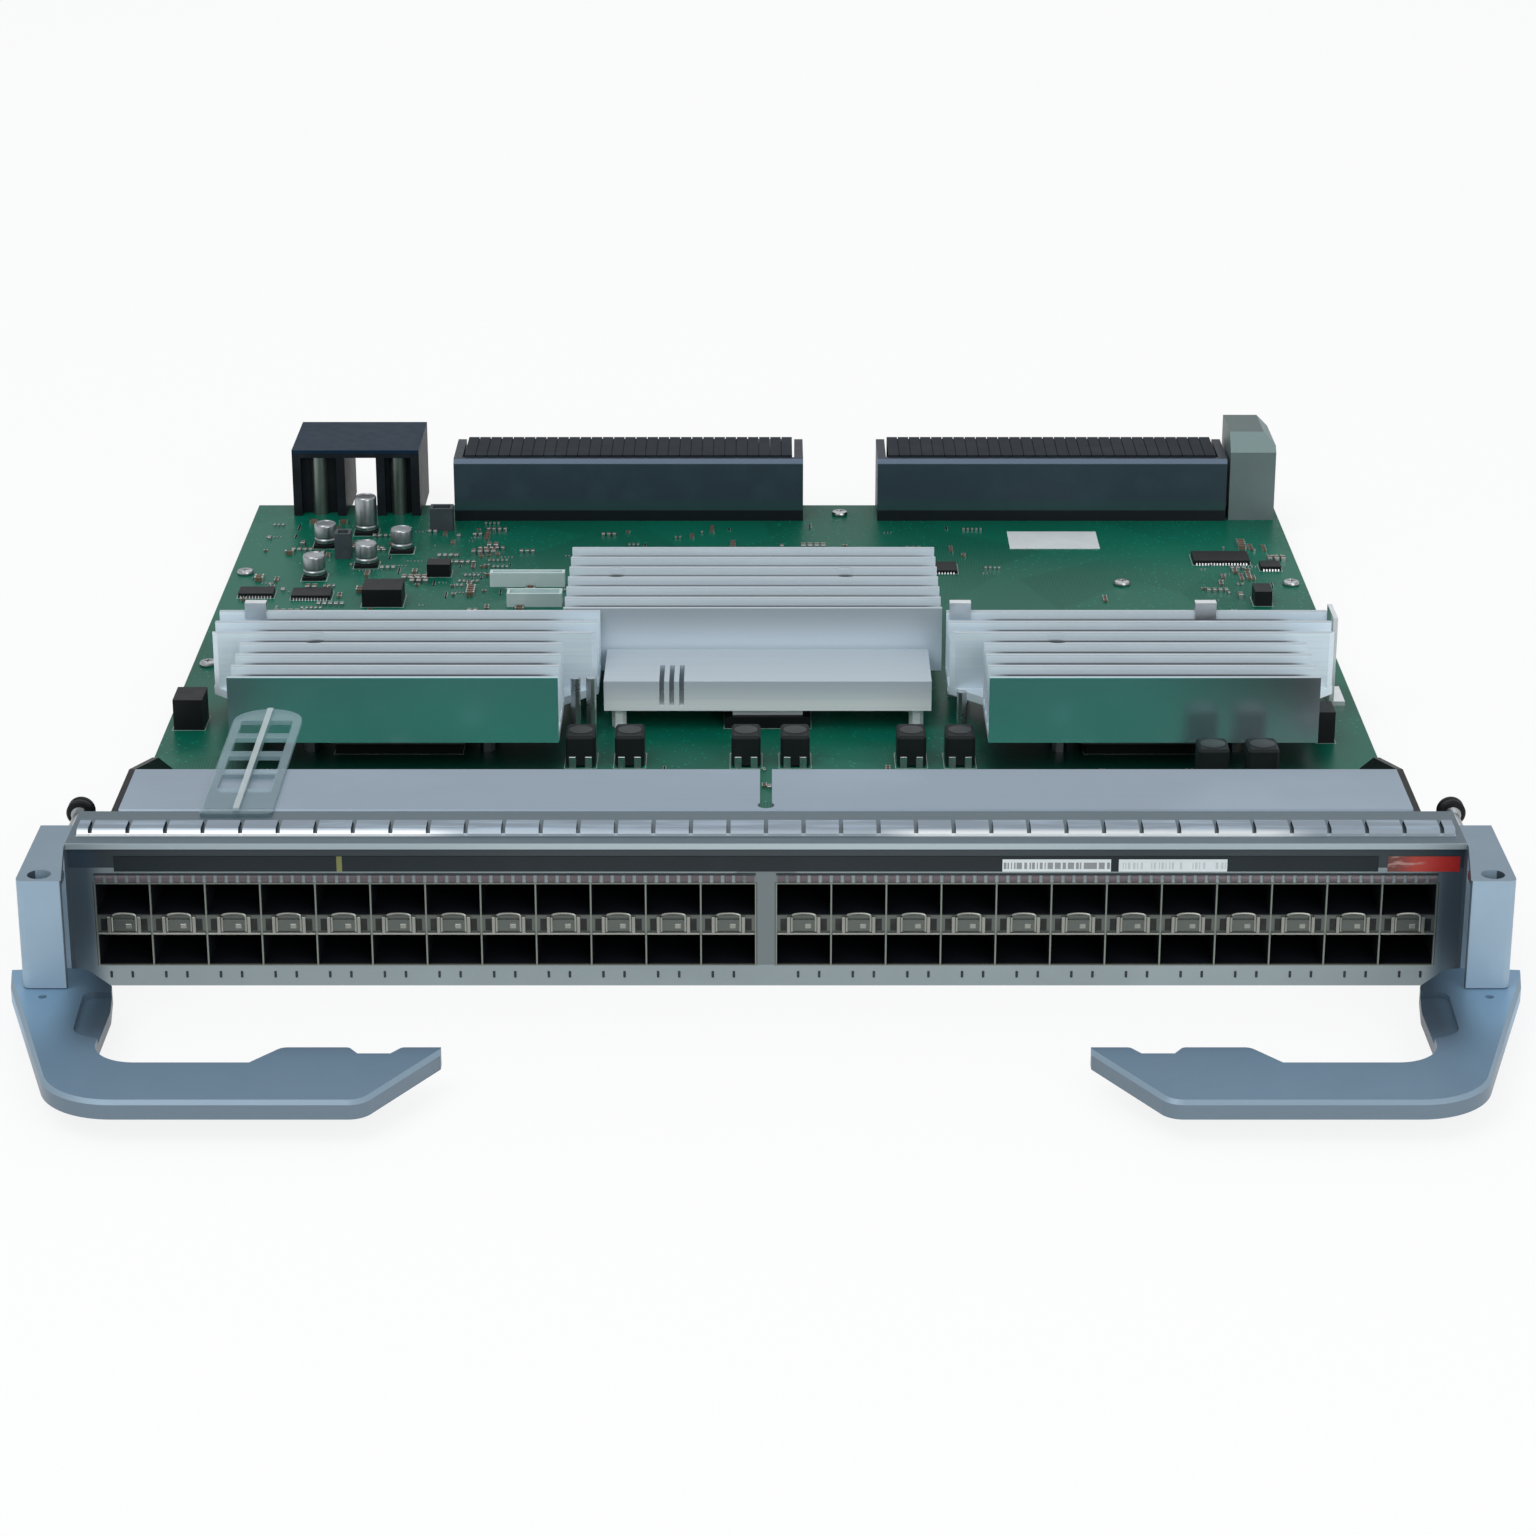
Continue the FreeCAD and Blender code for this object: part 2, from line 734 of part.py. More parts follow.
def top_emi_fingers():
    """Arched spring fingers along the top flange, joined by a strip in front."""
    start = finger_front
    skin = [(start, card_height), (start + finger_base, card_height),
            (start + finger_base + finger_ramp, card_height + finger_rise),
            (start + finger_base + finger_ramp + finger_flat, card_height + finger_rise),
            (start + finger_base + 2 * finger_ramp + finger_flat, card_height)]
    half = panel_half - finger_strip_inset
    strip = side_profile(bent_sheet(skin, finger_sheet), -half, half)
    count = int(2 * half / finger_pitch)
    slits = []
    for i in range(count + 1):
        x = (i - count / 2) * finger_pitch
        slits.append(block(x - finger_slit / 2, x + finger_slit / 2, start + finger_base,
                           start + finger_base + 3 * finger_ramp + finger_flat, card_height - 1,
                           card_height + finger_rise + 1))
    return strip.cut(slits)


def face_label(x0, x1, z0, z1):
    """Thin label flat on the panel's face."""
    return block(x0, x1, panel_front - label_thick, panel_front, z0, z1)


def label_strip():
    """Dark marking strip above the ports, cut away where the white labels lie."""
    top = strip_label_bottom + strip_label_height
    strip = face_label(strip_label_inset - panel_half, red_label_start - red_label_gap, strip_label_bottom,
                       top)
    return strip.cut(white_labels())


def white_labels():
    """Two plain white labels set into the marking strip."""
    labels = []
    for inset in white_label_insets:
        x = panel_half - inset
        labels.append(face_label(x - white_label_length / 2, x + white_label_length / 2, strip_label_bottom,
                                 strip_label_bottom + white_label_height))
    return group(labels)


def red_end_label():
    """Plain red label at the right end of the panel."""
    return face_label(red_label_start, red_label_start + red_label_length, strip_label_bottom,
                      strip_label_bottom + strip_label_height)


# ---- cover and gussets ----
def top_cover():
    """Folded cover behind the top flange, with a tongue under the flange and a lip at its rear edge."""
    joggle = cover_joggle_start
    skin = [(cover_rear, card_height - cover_lip), (cover_rear, card_height),
            (joggle + cover_joggle, card_height), (joggle, flange_underside),
            (joggle - cover_tongue, flange_underside)]
    cover = side_profile(bent_sheet(skin, cover_sheet), -cover_half_width, cover_half_width)
    slot = block(-slot_width / 2, slot_width / 2, slot_end + slot_end_radius, cover_rear + 1,
                 card_height - cover_lip - 1, card_height + 1)
    end = rod(slot_end_radius, 0, slot_end + slot_end_radius, card_height - 2 * cover_sheet, card_height + 1)
    return cover.cut([slot, end])


def side_gusset():
    """Right gusset: upright web from the flange down to the board, a foot and a ledge under the cover."""
    web_low = cage_top + gusset_cage_gap
    web = [
        (top_flange_depth, web_low), (top_flange_depth, card_height), (cover_rear, card_height),
        (gusset_knee, gusset_knee_height), (gusset_tail - gusset_toe_run, gusset_toe_height),
        (gusset_tail, board_top), (gusset_heel, board_top), (cage_rear + 2 * gusset_cage_gap, web_low),
    ]
    plate = side_profile(web, cover_half_width, cover_half_width + gusset_sheet)
    inner = cover_half_width - gusset_foot_width
    foot = block(inner, cover_half_width + gusset_sheet / 2, gusset_foot_start, gusset_foot_end,
                 board_top, board_top + gusset_foot_thick)
    underside = card_height - cover_sheet
    ledge = block(inner, cover_half_width + gusset_sheet / 2, cover_joggle_start + 2 * cover_joggle,
                  cover_rear - 2 * cover_sheet, underside - cover_sheet, underside)
    holes = [shank(x, y, board_top - 1, board_top + 2 * gusset_foot_thick)
             for x, y in foot_screw_spots() if x > 0]
    return joined(plate, [foot, ledge]).cut(holes)


# ---- heatsinks ----
def fin_row(k, front):
    """Y of the middle of the gap behind fin k."""
    return front + fin_gap_middle + k * fin_pitch


def finned_section(front):
    """Comb outline of a heatsink: a base with upright fins, seen from the side."""
    shoulder = sink_bottom + sink_base
    points = [(front, sink_bottom)]
    for i in range(fin_count):
        y = front + i * fin_pitch
        points += [(y, shoulder), (y, sink_top), (y + fin_thick, sink_top), (y + fin_thick, shoulder)]
    points.append((front + sink_depth, sink_bottom))
    return [points[0]] + points[2:-2] + [points[-1]]


def sink_screw_spots(centre, front, reaches):
    """Four screw places between the fins; the first is the one that the fins are cut away for."""
    left, right = reaches
    return [(centre + left, fin_row(3, front)), (centre + right, fin_row(3, front)),
            (centre + left, fin_row(1, front)), (centre + right, fin_row(1, front))]


def side_spots(centre):
    """Screw places of a side heatsink."""
    return sink_screw_spots(centre, side_sink_front, (-side_screw_reach, side_screw_reach))


def centre_spots():
    """Screw places of the centre heatsink."""
    return sink_screw_spots(centre_sink_centre, centre_sink_front, (centre_screw_left, centre_screw_right))


def with_pedestal(sink, centre, front, spots, reliefs):
    """Add the pedestal that meets the package, the screw holes and the round cut-outs in the fins."""
    middle = front + sink_depth / 2
    half = pedestal_size / 2
    pedestal = block(centre - half, centre + half, middle - half, middle + half,
                     board_top + package_height, sink_bottom + sink_base / 2)
    cuts = [shank(x, y, 0, sink_bottom + sink_base + 1, screw_clearance) for x, y in spots]
    cuts += [rod(fin_relief_radius, x, y, sink_bottom + sink_base, sink_top + 1) for x, y in reliefs]
    return joined(sink, [pedestal]).cut(cuts)


def side_heatsink(start, end):
    """Extruded heatsink between two ends, with shoulders that make it narrower at the front."""
    sink = side_profile(finned_section(side_sink_front), start, end)
    centre = (start + end) / 2
    wide = (end - start) / 2 + 1
    narrow = (end - start) / 2 - side_sink_shoulder
    flare = side_sink_step + wide - narrow
    trims = []
    for side in (-1, 1):
        trims.append(plan_profile([(centre + side * narrow, side_sink_front - 1),
                                   (centre + side * narrow, side_sink_step), (centre + side * wide, flare),
                                   (centre + side * wide, side_sink_front - 1)], 0, sink_top + 1))
    spots = side_spots(centre)
    return with_pedestal(sink.cut(trims), centre, side_sink_front, spots, spots[:1])


def centre_heatsink():
    """Middle heatsink with the same comb section."""
    centre = centre_sink_centre
    half = centre_sink_width / 2
    sink = side_profile(finned_section(centre_sink_front), centre - half, centre + half)
    spots = centre_spots()
    return with_pedestal(sink, centre, centre_sink_front, spots, spots[:2])


def centre_heat_spreader():
    """Smooth low block in front of the centre heatsink, with three slots, a pedestal and four legs."""
    body = block(spreader_left, spreader_right, spreader_front, spreader_rear, spreader_bottom, spreader_top)
    inset = 2 * post_radius
    legs = [prism(post_radius, shank_sides, x, y, board_top, spreader_bottom + 1)
            for x in (spreader_left + inset, spreader_right - inset)
            for y in (spreader_front + inset, spreader_rear - inset)]
    middle_x = (spreader_left + spreader_right) / 2
    middle_y = (spreader_front + spreader_rear) / 2
    half = (spreader_rear - spreader_front) / 2 - inset
    pedestal = block(middle_x - half, middle_x + half, middle_y - half, middle_y + half,
                     board_top + package_height, spreader_bottom + 1)
    slots = [block(x - spreader_slot / 2, x + spreader_slot / 2, spreader_front - 1,
                   spreader_front + spreader_slot_run, spreader_bottom + spreader_slot_floor,
                   spreader_top + 1)
             for x in spreader_slot_spots]
    return joined(body, legs + [pedestal]).cut(slots)


def chip_packages():
    """Packages under the three finned heatsinks and the low block."""
    half = package_size / 2
    sinks = [(x, side_sink_front + sink_depth / 2, half) for x in side_sink_centres]
    sinks.append((centre_sink_centre, centre_sink_front + sink_depth / 2, half))
    small = (spreader_rear - spreader_front) / 2 - post_radius
    sinks.append(((spreader_left + spreader_right) / 2, (spreader_front + spreader_rear) / 2, small))
    return group([block(x - h, x + h, y - h, y + h, board_top, board_top + package_height)
                  for x, y, h in sinks])


def all_sink_spots():
    """Every heatsink screw."""
    spots = centre_spots()
    for centre in side_sink_centres:
        spots += side_spots(centre)
    return spots


def heatsink_posts():
    """Six-sided threaded posts on the board under the heatsink screws."""
    posts = []
    for x, y in all_sink_spots():
        post = prism(post_radius, shank_sides, x, y, board_top, sink_bottom)
        posts.append(post.cut(shank(x, y, board_top + 1, sink_bottom + 1)))
    return group(posts)


def heatsink_screws():
    """Screws through the heatsink bases."""
    seat = sink_bottom + sink_base
    return group([pan_screw(x, y, seat, board_top + 1) for x, y in all_sink_spots()])


def heatsink_clips():
    """Bent spring clips that hook over the rear fin of the side heatsinks."""
    fin_rear = side_sink_front + sink_depth
    fin_face = fin_rear - fin_thick
    skin = [(fin_rear + clip_foot, board_top + clip_sheet), (fin_rear + clip_sheet, board_top + clip_sheet),
            (fin_rear + clip_sheet, sink_top + clip_rise), (fin_face - clip_sheet, sink_top + clip_rise),
            (fin_face - clip_sheet, sink_top - clip_hook)]
    outline = bent_sheet(skin, clip_sheet)
    spots = (left_sink_start + clip_insets[0], right_sink_start + clip_insets[1],
             right_sink_end - clip_insets[2])
    return group([side_profile(outline, x - clip_width / 2, x + clip_width / 2) for x in spots])


def air_baffle():
    """Short upright plate beside the right heatsink, on an angled foot."""
    x = right_sink_end + baffle_gap
    plate = block(x - baffle_sheet / 2, x + baffle_sheet / 2, baffle_front, baffle_front + baffle_depth,
                  board_top, sink_top)
    foot = block(x - baffle_sheet / 2, x + 3 * baffle_sheet, baffle_front, baffle_front + baffle_depth,
                 board_top, board_top + baffle_sheet)
    return joined(plate, [foot])


# ---- parts at the backplane edge ----
def backplane_housing(centre):
    """Hood of a backplane connector: front wall, end walls and floor, open to the rear and top."""
    x0 = centre - backplane_length / 2
    x1 = centre + backplane_length / 2
    top = board_top + backplane_height
    section = [(backplane_front, board_top), (backplane_front, top - backplane_chamfer),
               (backplane_front + backplane_chamfer, top), (backplane_rear, top),
               (backplane_rear, board_bottom), (board_rear, board_bottom), (board_rear, board_top)]
    hood = side_profile(section, x0, x1)
    hollow = block(x0 + backplane_wall, x1 - backplane_wall, backplane_front + backplane_wall,
                   backplane_rear + 1, board_top + backplane_floor, top + 1)
    return hood.cut(hollow)


def backplane_wafers(centre):
    """Contact wafers side by side in the hood."""
    inside = backplane_length - 2 * backplane_wall
    count = int(inside / wafer_pitch)
    first = centre - count * wafer_pitch / 2
    top = board_top + backplane_height + wafer_rise
    wafers = []
    for i in range(count):
        x = first + i * wafer_pitch + wafer_slit / 2
        wafers.append(block(x, x + wafer_pitch - wafer_slit, backplane_front + backplane_wall,
                            backplane_rear, board_top + backplane_floor, top))
    return group(wafers)


def power_legs():
    """X range of each leg of the power connector."""
    return ((power_left, power_window_left), (power_window_right, power_right))


def power_connector():
    """Bridge-shaped power connector: two legs joined along the top, each open at the front."""
    section = [(power_front, board_top), (power_front, power_top), (power_rear, power_top),
               (power_rear, board_bottom), (board_rear, board_bottom), (board_rear, board_top)]
    body = side_profile(section, power_left, power_right)
    cuts = [block(power_window_left, power_window_right, power_front - 1, power_rear + 1, board_bottom - 1,
                  power_top - power_bridge)]
    for x0, x1 in power_legs():
        cuts.append(block(x0 + power_recess_wall, x1 - power_recess_wall, power_front - 1,
                          power_front + power_recess_depth, board_top - 1, power_top - power_bridge))
        cuts.append(block(x0 + power_recess_wall, x1 - power_recess_wall, power_rear - 2 * power_recess_depth,
                          power_rear + 1, board_top + power_recess_wall, power_top - power_recess_wall))
    return body.cut(cuts)


def power_blades():
    """Half-round contact tail in the front recess of each leg, and two blades in its rear mouth."""
    wall = power_front + power_recess_depth
    blades = []
    for x0, x1 in power_legs():
        middle = (x0 + x1) / 2
        tail = rod(contact_radius, middle, wall, board_top, power_top - power_bridge)
        blades.append(tail.cut(block(x0, x1, wall, wall + 2 * contact_radius, board_bottom, power_top)))
        for side in (-1, 1):
            x = middle + side * blade_spacing / 2
            blades.append(block(x - blade_thick / 2, x + blade_thick / 2, power_rear - 2 * power_recess_depth,
                                power_rear - 1, board_top + 2 * power_recess_wall,
                                power_top - 2 * power_recess_wall))
    return group(blades)


def guide_block():
    """Die-cast guide socket, stepped up at the back, with a bore for the chassis guide pin."""
    section = [(guide_front, board_top), (guide_front, guide_top - guide_step),
               (guide_front + guide_step, guide_top), (guide_rear, guide_top), (guide_rear, board_bottom),
               (board_rear, board_bottom), (board_rear, board_top)]
    body = side_profile(section, guide_left, guide_right)
    corner = Part.makePolygon([V(guide_right, guide_front - 1, guide_top - guide_chamfer),
                               V(guide_right, guide_front - 1, guide_top + 1),
                               V(guide_right - guide_chamfer - 1, guide_front - 1, guide_top + 1),
                               V(guide_right, guide_front - 1, guide_top - guide_chamfer)])
    chamfer = Part.Face(corner).extrude(V(0, guide_rear - guide_front + 2, 0))
    bore = rod_y(guide_bore_radius, (guide_left + guide_right) / 2, guide_bore_height,
                 guide_rear - guide_bore_depth, guide_rear + 1)
    return body.cut([chamfer, bore])


# ---- parts on the board ----
def standing_block(spot):
    """Plain body on the board from one table row."""
    x, y, width, depth, height = spot
    return block(x - width / 2, x + width / 2, y, y + depth, board_top, board_top + height)


def power_inductors():
    """Dark moulded inductors with chamfered tops."""
    bodies = []
    for spot in inductors:
        body = standing_block(spot)
        top = board_top + spot[4]
        edges = [e for e in body.Edges if min(v.Z for v in e.Vertexes) > top - 0.01]
        bodies.append(body.makeChamfer(inductor_chamfer, edges))
    return group(bodies)


def board_chips():
    """Moulded packages and relays."""
    spots = from_left(left_relays) + from_right(right_relays)
    spots += from_rear(from_left(left_chips) + from_right(right_chips) + list(middle_chips))
    return group([standing_block(spot) for spot in spots])


def board_headers():
    """Open-topped cable headers."""
    bodies = []
    for x, y, width, depth, height in from_rear(from_left(left_headers) + list(middle_headers)):
        top = board_top + height
        pocket = block(x - width / 2 + header_wall, x + width / 2 - header_wall, y + header_wall,
                       y + depth - header_wall, top - header_pocket, top + 1)
        bodies.append(standing_block((x, y, width, depth, height)).cut(pocket))
    return group(bodies)


def storage_capacitors():
    """Upright cans on square bases."""
    bodies = []
    for x, y, height in from_rear(from_left(left_cans)):
        base = block(x - can_radius, x + can_radius, y - can_radius, y + can_radius, board_top,
                     board_top + can_base)
        can = prism(can_radius, round_sides, x, y, board_top + can_base, board_top + height)
        bodies.append(joined(base, [can]))
    return group(bodies)


def board_posts():
    """Upright metal posts between the heatsinks."""
    return group([prism(post_rod_radius, head_sides, x, y, board_top, board_top + height)
                  for x, y, height in posts])


def board_label():
    """Blank label on the board."""
    front = board_rear - board_label_back
    return block(board_label_left, board_label_left + board_label_length, front, front + board_label_depth,
                 board_top, board_top + label_thick)


def pull_tag():
    """Clear moulded tag flat on the cover: rounded rear end, pairs of windows and a middle rib."""
    x0 = tag_inset - cover_half_width
    x1 = x0 + tag_width
    rear = tag_front + tag_length
    end = tag_width / 2 - tag_end_gap
    outline = [(x0, tag_front, tag_rib), (x1, tag_front, tag_rib), (x1, rear, end), (x0, rear, end)]
    plate = rounded_face(outline, card_height).extrude(V(0, 0, tag_thick))
    middle = (x0 + x1) / 2
    top = card_height + tag_thick
    cuts = []
    for i in range(tag_windows):
        y1 = rear - tag_width / 2 - i * (tag_window_depth + tag_bridge)
        for a, b in ((x0 + tag_frame, middle - tag_rib / 2), (middle + tag_rib / 2, x1 - tag_frame)):
            cuts.append(block(a, b, y1 - tag_window_depth, y1, card_height - 1, top + 1))
    rib = block(middle - tag_rib / 2, middle + tag_rib / 2, tag_front + tag_rib, rear - tag_rib,
                card_height + tag_thick / 2, top + tag_rib_height)
    return joined(plate.cut(cuts), [rib])


# ---- end brackets, built for the right end ----
def end_bracket():
    """Die-cast end bracket: a hollow head over the lever, a rear flange on the panel and an ear below."""
    outer = panel_half + bracket_out
    inner = panel_half - bracket_inset
    front = -bracket_reach
    step = -bracket_step
    plan = rounded_face([(inner, front, bracket_nose), (outer, front, bracket_corner), (outer, step, 0.0),
                         (panel_half, step, 0.0)], bracket_floor)
    head = plan.extrude(V(0, 0, card_height - bracket_floor))
    hollow = block(inner - 1, outer - bracket_wall, front + bracket_wall, step,
                   bracket_floor - 1, card_height - bracket_wall)
    column = rod(pivot_column_radius, pivot_x, pivot_y, bracket_floor, card_height - bracket_wall / 2)
    flange = block(panel_half, outer, step, bracket_rear, 0.0, card_height)
    ear = rod(ear_radius, pivot_x, pivot_y, 0.0, ear_thick)
    neck = block(pivot_x - ear_radius + ear_neck_inset, pivot_x + ear_radius, pivot_y, step, 0.0, ear_thick)
    pocket = block(panel_half + bracket_wall, outer - bracket_wall, step + bracket_wall, bracket_rear + 1,
                   bracket_wall, bracket_wall + pocket_depth)
    cuts = [pocket, rod(pivot_radius, pivot_x, pivot_y, -1, card_height + 1),
            rod_y(captive_radius + captive_clearance, captive_x, captive_height, step - 1, bracket_rear + 1)]
    cuts += [bracket_shank(height, panel_half - 1, panel_half + bracket_wall)
             for height in bracket_screw_spots()]
    return joined(head.cut(hollow), [column, flange, ear, neck]).cut(cuts)


def bracket_screws():
    """Screws through the panel's side flanges into the brackets, for the right end."""
    seat = panel_half - panel_sheet
    screws = []
    for height in bracket_screw_spots():
        head = side_profile(rim(screw_head_radius, head_sides, side_flange_depth / 2, height),
                            seat - screw_head_height, seat)
        screws.append(joined(bracket_shank(height, seat, panel_half + bracket_wall), [head]))
    return screws


def pivot_pin():
    """Long steel dowel through the bracket's ear, the lever and the column in the head."""
    return rod(pivot_radius, pivot_x, pivot_y, 0.0, card_height - pivot_recess)


def lever_outline():
    """Corners of the right lever seen from above: curved arm, tapered tip, finger grip, hub and claw."""
    front = -lever_reach
    back = front + arm_width
    tip = pivot_x - lever_span
    corners = [(pivot_x - arm_shoulder[0], front, arm_shoulder[1]),
               (tip + tip_taper, front, tip_taper_radius)]
    corners += [(tip + along, back + behind, radius) for along, behind, radius in grip_corners]
    corners.append((pivot_x - arm_elbow[0], back, arm_elbow[1]))
    return corners + [(pivot_x + out, pivot_y + behind, radius) for out, behind, radius in claw_corners]


def lever():
    """Cast ejector lever: full-height hub, thinner arm hollowed underneath, a sunk pad and a claw."""
    arm = rounded_face(lever_outline(), lever_bottom).extrude(V(0, 0, arm_thick))
    front = -lever_reach
    back = front + arm_width
    tip = pivot_x - lever_span
    edges = [e for e in arm.Edges if min(v.Z for v in e.Vertexes) > lever_top - 0.01
             and min(v.Y for v in e.Vertexes) < back - 1]
    arm = arm.makeChamfer(lever_edge, edges)
    start = pivot_y - arm_pocket_start
    outer = pivot_x + arm_pocket_inset
    elbow = pivot_x - arm_elbow[0] + arm_shell
    hollow = rounded_face([
        (outer, start, arm_shell), (pivot_x - arm_shoulder[0] - arm_shell, front + arm_shell,
                                    arm_shoulder[1] - arm_shell),
        (tip + hollow_front, front + arm_shell, 0.0), (tip + hollow_back, back - arm_shell, 0.0),
        (elbow, back - arm_shell, 0.0), (elbow, start, 0.0),
    ], lever_bottom - 1).extrude(V(0, 0, arm_pocket + 1))
    pad = rounded_face([(pivot_x + out, pivot_y + behind, radius) for out, behind, radius in pad_corners],
                       lever_top - recess_depth).extrude(V(0, 0, recess_depth + 1))
    hub = rod(hub_radius, pivot_x, pivot_y, hub_bottom, lever_top)
    bore = rod(pivot_radius + pivot_clearance, pivot_x, pivot_y, 0, card_height)
    hole = prism(lever_hole_radius, head_sides, pivot_x - lever_hole_in, pivot_y - lever_hole_ahead, 0,
                 card_height)
    return joined(arm.cut([hollow, pad]), [hub]).cut([bore, hole])


# ---- captive screws, built for the right end ----
def captive_screw():
    """Thumbscrew: slotted knob in the bracket's head, long stem and two collars that hold the ring."""
    knob_front = knob_rear - knob_length
    knob = prism_y(knob_radius, round_sides, captive_x, captive_height, knob_front, knob_rear)
    slot = block(captive_x - knob_radius - 1, captive_x + knob_radius + 1, knob_front - 1,
                 knob_front + knob_slot, captive_height - knob_slot / 2, captive_height + knob_slot / 2)
    stem = rod_y(captive_radius, captive_x, captive_height, knob_rear, captive_tip)
    ends = (ring_start - ring_clearance - collar_length, ring_start + ring_length + ring_clearance)
    collars = [prism_y(collar_radius, head_sides, captive_x, captive_height, y, y + collar_length)
               for y in ends]
    return joined(knob.cut(slot), [stem] + collars)


def screw_ring():
    """Nylon retaining ring that travels with the screw and lets it turn."""
    outer = rod_y(ring_radius, captive_x, captive_height, ring_start, ring_start + ring_length)
    bore = rod_y(captive_radius + ring_clearance, captive_x, captive_height, ring_start - 1,
                 ring_start + ring_length + 1)
    return outer.cut(bore)


# ---- the whole card ----
def pieces():
    """Every piece by name."""
    parts = {
        "front_panel": front_panel(), "carrier_tray": carrier_tray(), "tray_rivets": tray_rivets(),
        "main_board": main_board(), "board_screws": board_screws(), "gusset_screws": gusset_screws(),
        "port_emi_springs": port_emi_springs(), "top_emi_fingers": top_emi_fingers(),
        "label_strip": label_strip(), "white_labels": white_labels(), "red_end_label": red_end_label(),
        "top_cover": top_cover(), "left_heatsink": side_heatsink(left_sink_start, left_sink_end),
        "right_heatsink": side_heatsink(right_sink_start, right_sink_end),
        "centre_heatsink": centre_heatsink(),
        "centre_heat_spreader": centre_heat_spreader(), "chip_packages": chip_packages(),
        "heatsink_posts": heatsink_posts(), "heatsink_screws": heatsink_screws(),
        "heatsink_clips": heatsink_clips(), "air_baffle": air_baffle(),
        "left_backplane_housing": backplane_housing(backplane_centres[0]),
        "right_backplane_housing": backplane_housing(backplane_centres[1]),
        "left_backplane_wafers": backplane_wafers(backplane_centres[0]),
        "right_backplane_wafers": backplane_wafers(backplane_centres[1]),
        "power_connector": power_connector(), "power_blades": power_blades(), "guide_block": guide_block(),
        "power_inductors": power_inductors(), "board_chips": board_chips(), "board_headers": board_headers(),
        "storage_capacitors": storage_capacitors(), "board_posts": board_posts(),
        "board_label": board_label(), "pull_tag": pull_tag(),
    }
    floor = cage_floor()
    parts["cage_floors"] = group([floor, mirrored(floor)])
    pipes = light_pipes()
    parts["light_pipes"] = group(pipes + [mirrored(p) for p in pipes])
    screws = bracket_screws()
    parts["bracket_screws"] = group(screws + [mirrored(s) for s in screws])
    handed = {
        "side_gusset": side_gusset(), "cage_shell": cage_shell(), "cage_dividers": cage_dividers(),
        "cage_mid_bars": cage_mid_bars(), "port_connectors": port_connectors(), "end_bracket": end_bracket(),
        "pivot_pin": pivot_pin(), "lever": lever(), "captive_screw": captive_screw(),
        "screw_ring": screw_ring(),
    }
    for name, shape in handed.items():
        parts["right_" + name] = shape
        parts["left_" + name] = mirrored(shape)
    return parts


os.makedirs("parts", exist_ok=True)
for name, shape in pieces().items():
    shape.exportStep("parts/" + name + ".step")
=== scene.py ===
"""Visual model of a switch line card, dressed over its construction frame.

Lengths are metres in the card's own frame: +X is to the right seen from the front, +Y runs back towards
the backplane and +Z is up. A new piece takes its size and place from the boxes of the frame's own nodes.
"""
import itertools
import math

import bpy
import numpy as np
from bpy.props import FloatProperty, FloatVectorProperty, IntProperty, PointerProperty
from bpy.types import Operator, Panel, PropertyGroup
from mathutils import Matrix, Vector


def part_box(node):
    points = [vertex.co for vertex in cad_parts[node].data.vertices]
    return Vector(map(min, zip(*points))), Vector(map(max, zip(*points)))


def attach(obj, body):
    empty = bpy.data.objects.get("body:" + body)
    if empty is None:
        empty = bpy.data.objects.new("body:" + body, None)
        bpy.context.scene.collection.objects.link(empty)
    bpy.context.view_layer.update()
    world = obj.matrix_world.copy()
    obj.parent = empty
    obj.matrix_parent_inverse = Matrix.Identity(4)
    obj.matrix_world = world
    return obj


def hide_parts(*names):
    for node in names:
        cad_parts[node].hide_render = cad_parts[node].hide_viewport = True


bl_info = {
    "name": "Switch Line Card",
    "version": (1, 0, 0),
    "blender": (4, 5, 0),
    "location": "3D View > Sidebar > Line Card",
    "description": "Dresses the line card's frame with finishes and fine parts",
    "category": "Object",
}

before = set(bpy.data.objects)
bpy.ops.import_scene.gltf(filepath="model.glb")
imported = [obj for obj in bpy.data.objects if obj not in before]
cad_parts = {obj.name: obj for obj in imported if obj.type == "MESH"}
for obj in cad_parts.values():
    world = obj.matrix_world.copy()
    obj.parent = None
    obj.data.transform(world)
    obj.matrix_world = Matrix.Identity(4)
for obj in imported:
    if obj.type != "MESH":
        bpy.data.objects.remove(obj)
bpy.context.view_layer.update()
MM = 0.001
SIDES = (("left", -1), ("right", 1))
X, Y, Z = 0, 1, 2
LOW, HIGH = 0, 1


